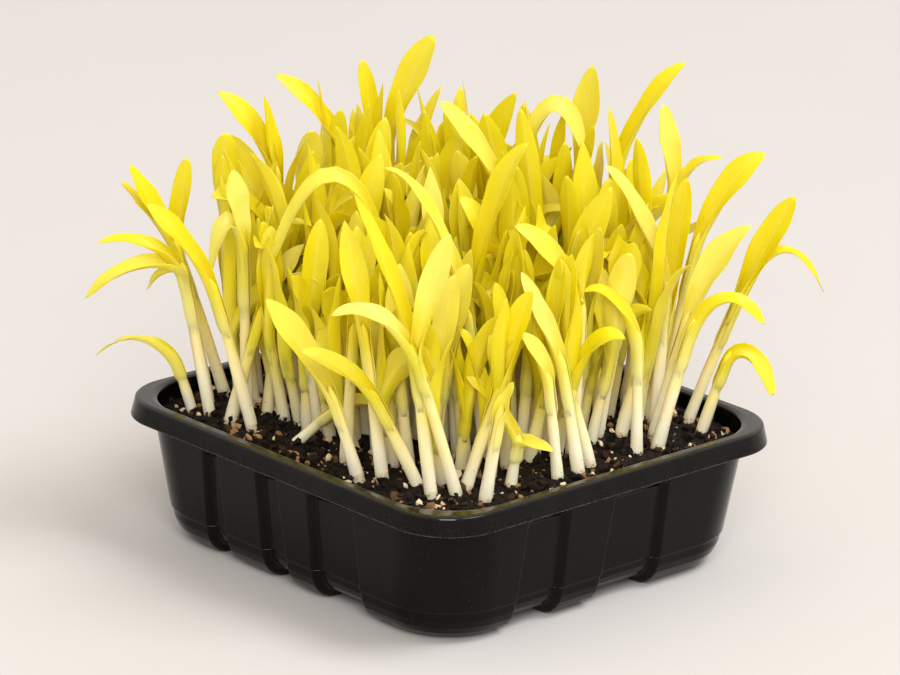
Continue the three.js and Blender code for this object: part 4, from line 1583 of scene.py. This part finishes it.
        ribbed = smooth(free * 3 + 0.6) * (1 - self.rib_fade * np.clip(free, 0, 1))
        rib = bell(spans, self.rib_width) * ribbed[:, None]
        body = mix(*self.thickness, 1 - spans**2) * mix(self.tip_thinness, 1, fade[:, None]) / 2
        lift = face * body - self.rib_height * np.where(face < 0, 1, self.rib_inside) * rib
        rise, slide = rise + lift * cosine, slide - lift * sine
        points = spine[:, None] + rise[..., None] * up[:, None] + slide[..., None] * across[:, None]
        plain = np.zeros(angle.shape)
        growth = np.where(free > 0, 1 + free, up_stem)[:, None] + plain
        seed, length = draw.uniform(0, self.grain_room), ways * lengths_along(spine)[-1]
        facing = seed + self.grain_step * face
        grain = np.stack([half[:, None] * spans, facing + plain, length[:, None] + plain], -1)
        tint = mix(*tints, smooth(free[:, None] / self.tint_end)) + plain
        features = {"growth": growth, "tint": tint, "rib": rib, "grain": grain}
        shape.add_tube(points, features)

    def add(self, shape: Shape, shoot: Shoot, number: int) -> None:
        """Adds one whole shoot, whose unevenness depends on its number alone."""
        draw = np.random.default_rng(FIRST_SEED + number)
        # Inner shoots draw lower tints: painted shade and bounce light inside the canopy.
        tint = mix(*(self.outer_tints if number < SPARSE.count else self.inner_shade_tints), draw.random())
        self.add_stem(shape, shoot, tint, draw)
        for order, leaf in enumerate(shoot.leaves):
            own = mix(*self.pale_tints, draw.random()) if shoot.name in PALE_SHOOTS else tint
            own = float(np.clip(own + draw.normal(0, self.tint_scatter), 0, 1))
            self.add_leaf(shape, shoot, leaf, order, (tint, own), draw)

    def build(self) -> None:
        """Builds a piece for each shoot of the frame, and joins the others in batches."""
        flesh = ShootFlesh().make()
        shoots = self.planting.shoots
        for number, shoot in enumerate(shoots[: SPARSE.count]):
            shape = Shape()
            self.add(shape, shoot, number)
            shape.piece(f"corn_{shoot.name}", flesh, Slot.SHOOTS, [f"shoot_{shoot.name}"])
        for batch, first in enumerate(range(SPARSE.count, len(shoots), BATCH), start=1):
            shape = Shape()
            for number, shoot in enumerate(shoots[first : first + BATCH], start=first):
                self.add(shape, shoot, number)
            shape.piece(f"inner_shoots_{batch}", flesh, Slot.SHOOTS)


# ---- Studio ----------------------------------------------------------------------------------


@dataclass(frozen=True)
class Softbox:
    """A square soft light: where it stands, its side and its power in watts."""

    name: str
    place: Place
    side: float
    power: float
    colour: Colour = (1.0, 1.0, 1.0)

    def build(self, target: Vector) -> None:
        """Sets the light up, facing a target."""
        light = bpy.data.lights.new(self.name, "AREA")
        light.shape, light.size, light.energy, light.color = "SQUARE", self.side, self.power, self.colour
        made = stand(self.name, light)
        made.location = self.place
        made.rotation_euler = (target - made.location).to_track_quat("-Z", "Y").to_euler()


@dataclass
class Studio:
    """Camera, floor and light. Angles are in degrees, and lengths in metres but for `target`."""

    azimuth: float = 47.25
    elevation: float = 18.64
    distance: float = 1.9363
    target: Place = (19.2, -17.8, 83.7)
    roll: float = 1.39
    lens: float = 233.4
    sensor: float = 36.0
    sight: float = 50.0
    floor_radius: float = 9.0
    floor_sides: int = 96
    air: Colour = (1.0, 0.95, 0.89)
    air_strength: float = 0.72
    softboxes: tuple[Softbox, ...] = (
        Softbox("key_light", (1.8, 1.1, 3.4), 1.7, 88.0, (0.92, 0.96, 1.0)),
        Softbox("front_light", (2.6, -2.2, 2.2), 1.8, 90.0, (0.96, 0.98, 1.0)),
    )

    def set_camera(self) -> None:
        """Stands the camera on its bearing, aims it at the target, and rolls it a little."""
        azimuth, elevation = math.radians(self.azimuth), math.radians(self.elevation)
        level = math.cos(elevation)
        back = Vector((math.sin(azimuth) * level, -math.cos(azimuth) * level, math.sin(elevation)))
        place = Vector(self.target) * MM + back * self.distance
        data = bpy.data.cameras.new("camera")
        data.lens, data.sensor_width, data.clip_end = self.lens, self.sensor, self.sight
        camera = stand("camera", data)
        turn = back.to_track_quat("Z", "Y").to_matrix() @ Matrix.Rotation(math.radians(self.roll), 3, "Z")
        camera.matrix_world = Matrix.Translation(place) @ turn.to_4x4()
        bpy.context.scene.camera = camera

    def lay_floor(self) -> None:
        """Lays a round floor under the tray, a ring of points about its middle."""
        angle = np.linspace(0, TURN, self.floor_sides, endpoint=False)
        points = np.stack([np.cos(angle), np.sin(angle), angle * 0], 1) * self.floor_radius
        mesh = bpy.data.meshes.new("floor")
        mesh.from_pydata(points.tolist(), [], [list(range(len(points)))])
        mesh.materials.append(StudioFloor().make())
        stand("floor", mesh)

    def light(self) -> None:
        """Fills the air with soft light and sets up the softboxes."""
        world = bpy.data.worlds.new("studio_air")
        world.use_nodes = True
        background = world.node_tree.nodes["Background"]
        background.inputs["Color"].default_value = (*self.air, 1.0)
        background.inputs["Strength"].default_value = self.air_strength
        bpy.context.scene.world = world
        for softbox in self.softboxes:
            softbox.build(Vector(self.target) * MM)
        bpy.context.scene.view_settings.view_transform = "Standard"

    def build(self) -> None:
        """Builds the whole studio."""
        self.set_camera()
        self.lay_floor()
        self.light()


def main() -> None:
    """Builds the studio, the tray, the peat and the shoots."""
    logging.basicConfig(level=logging.INFO, format="%(message)s")
    Studio().build()
    tray = Tray()
    tray.build()
    medium = GrowingMedium(tray)
    medium.build()
    planting = Planting(medium)
    planting.plant()
    ShootMaker(planting).build()


if __name__ == "__main__":
    main()
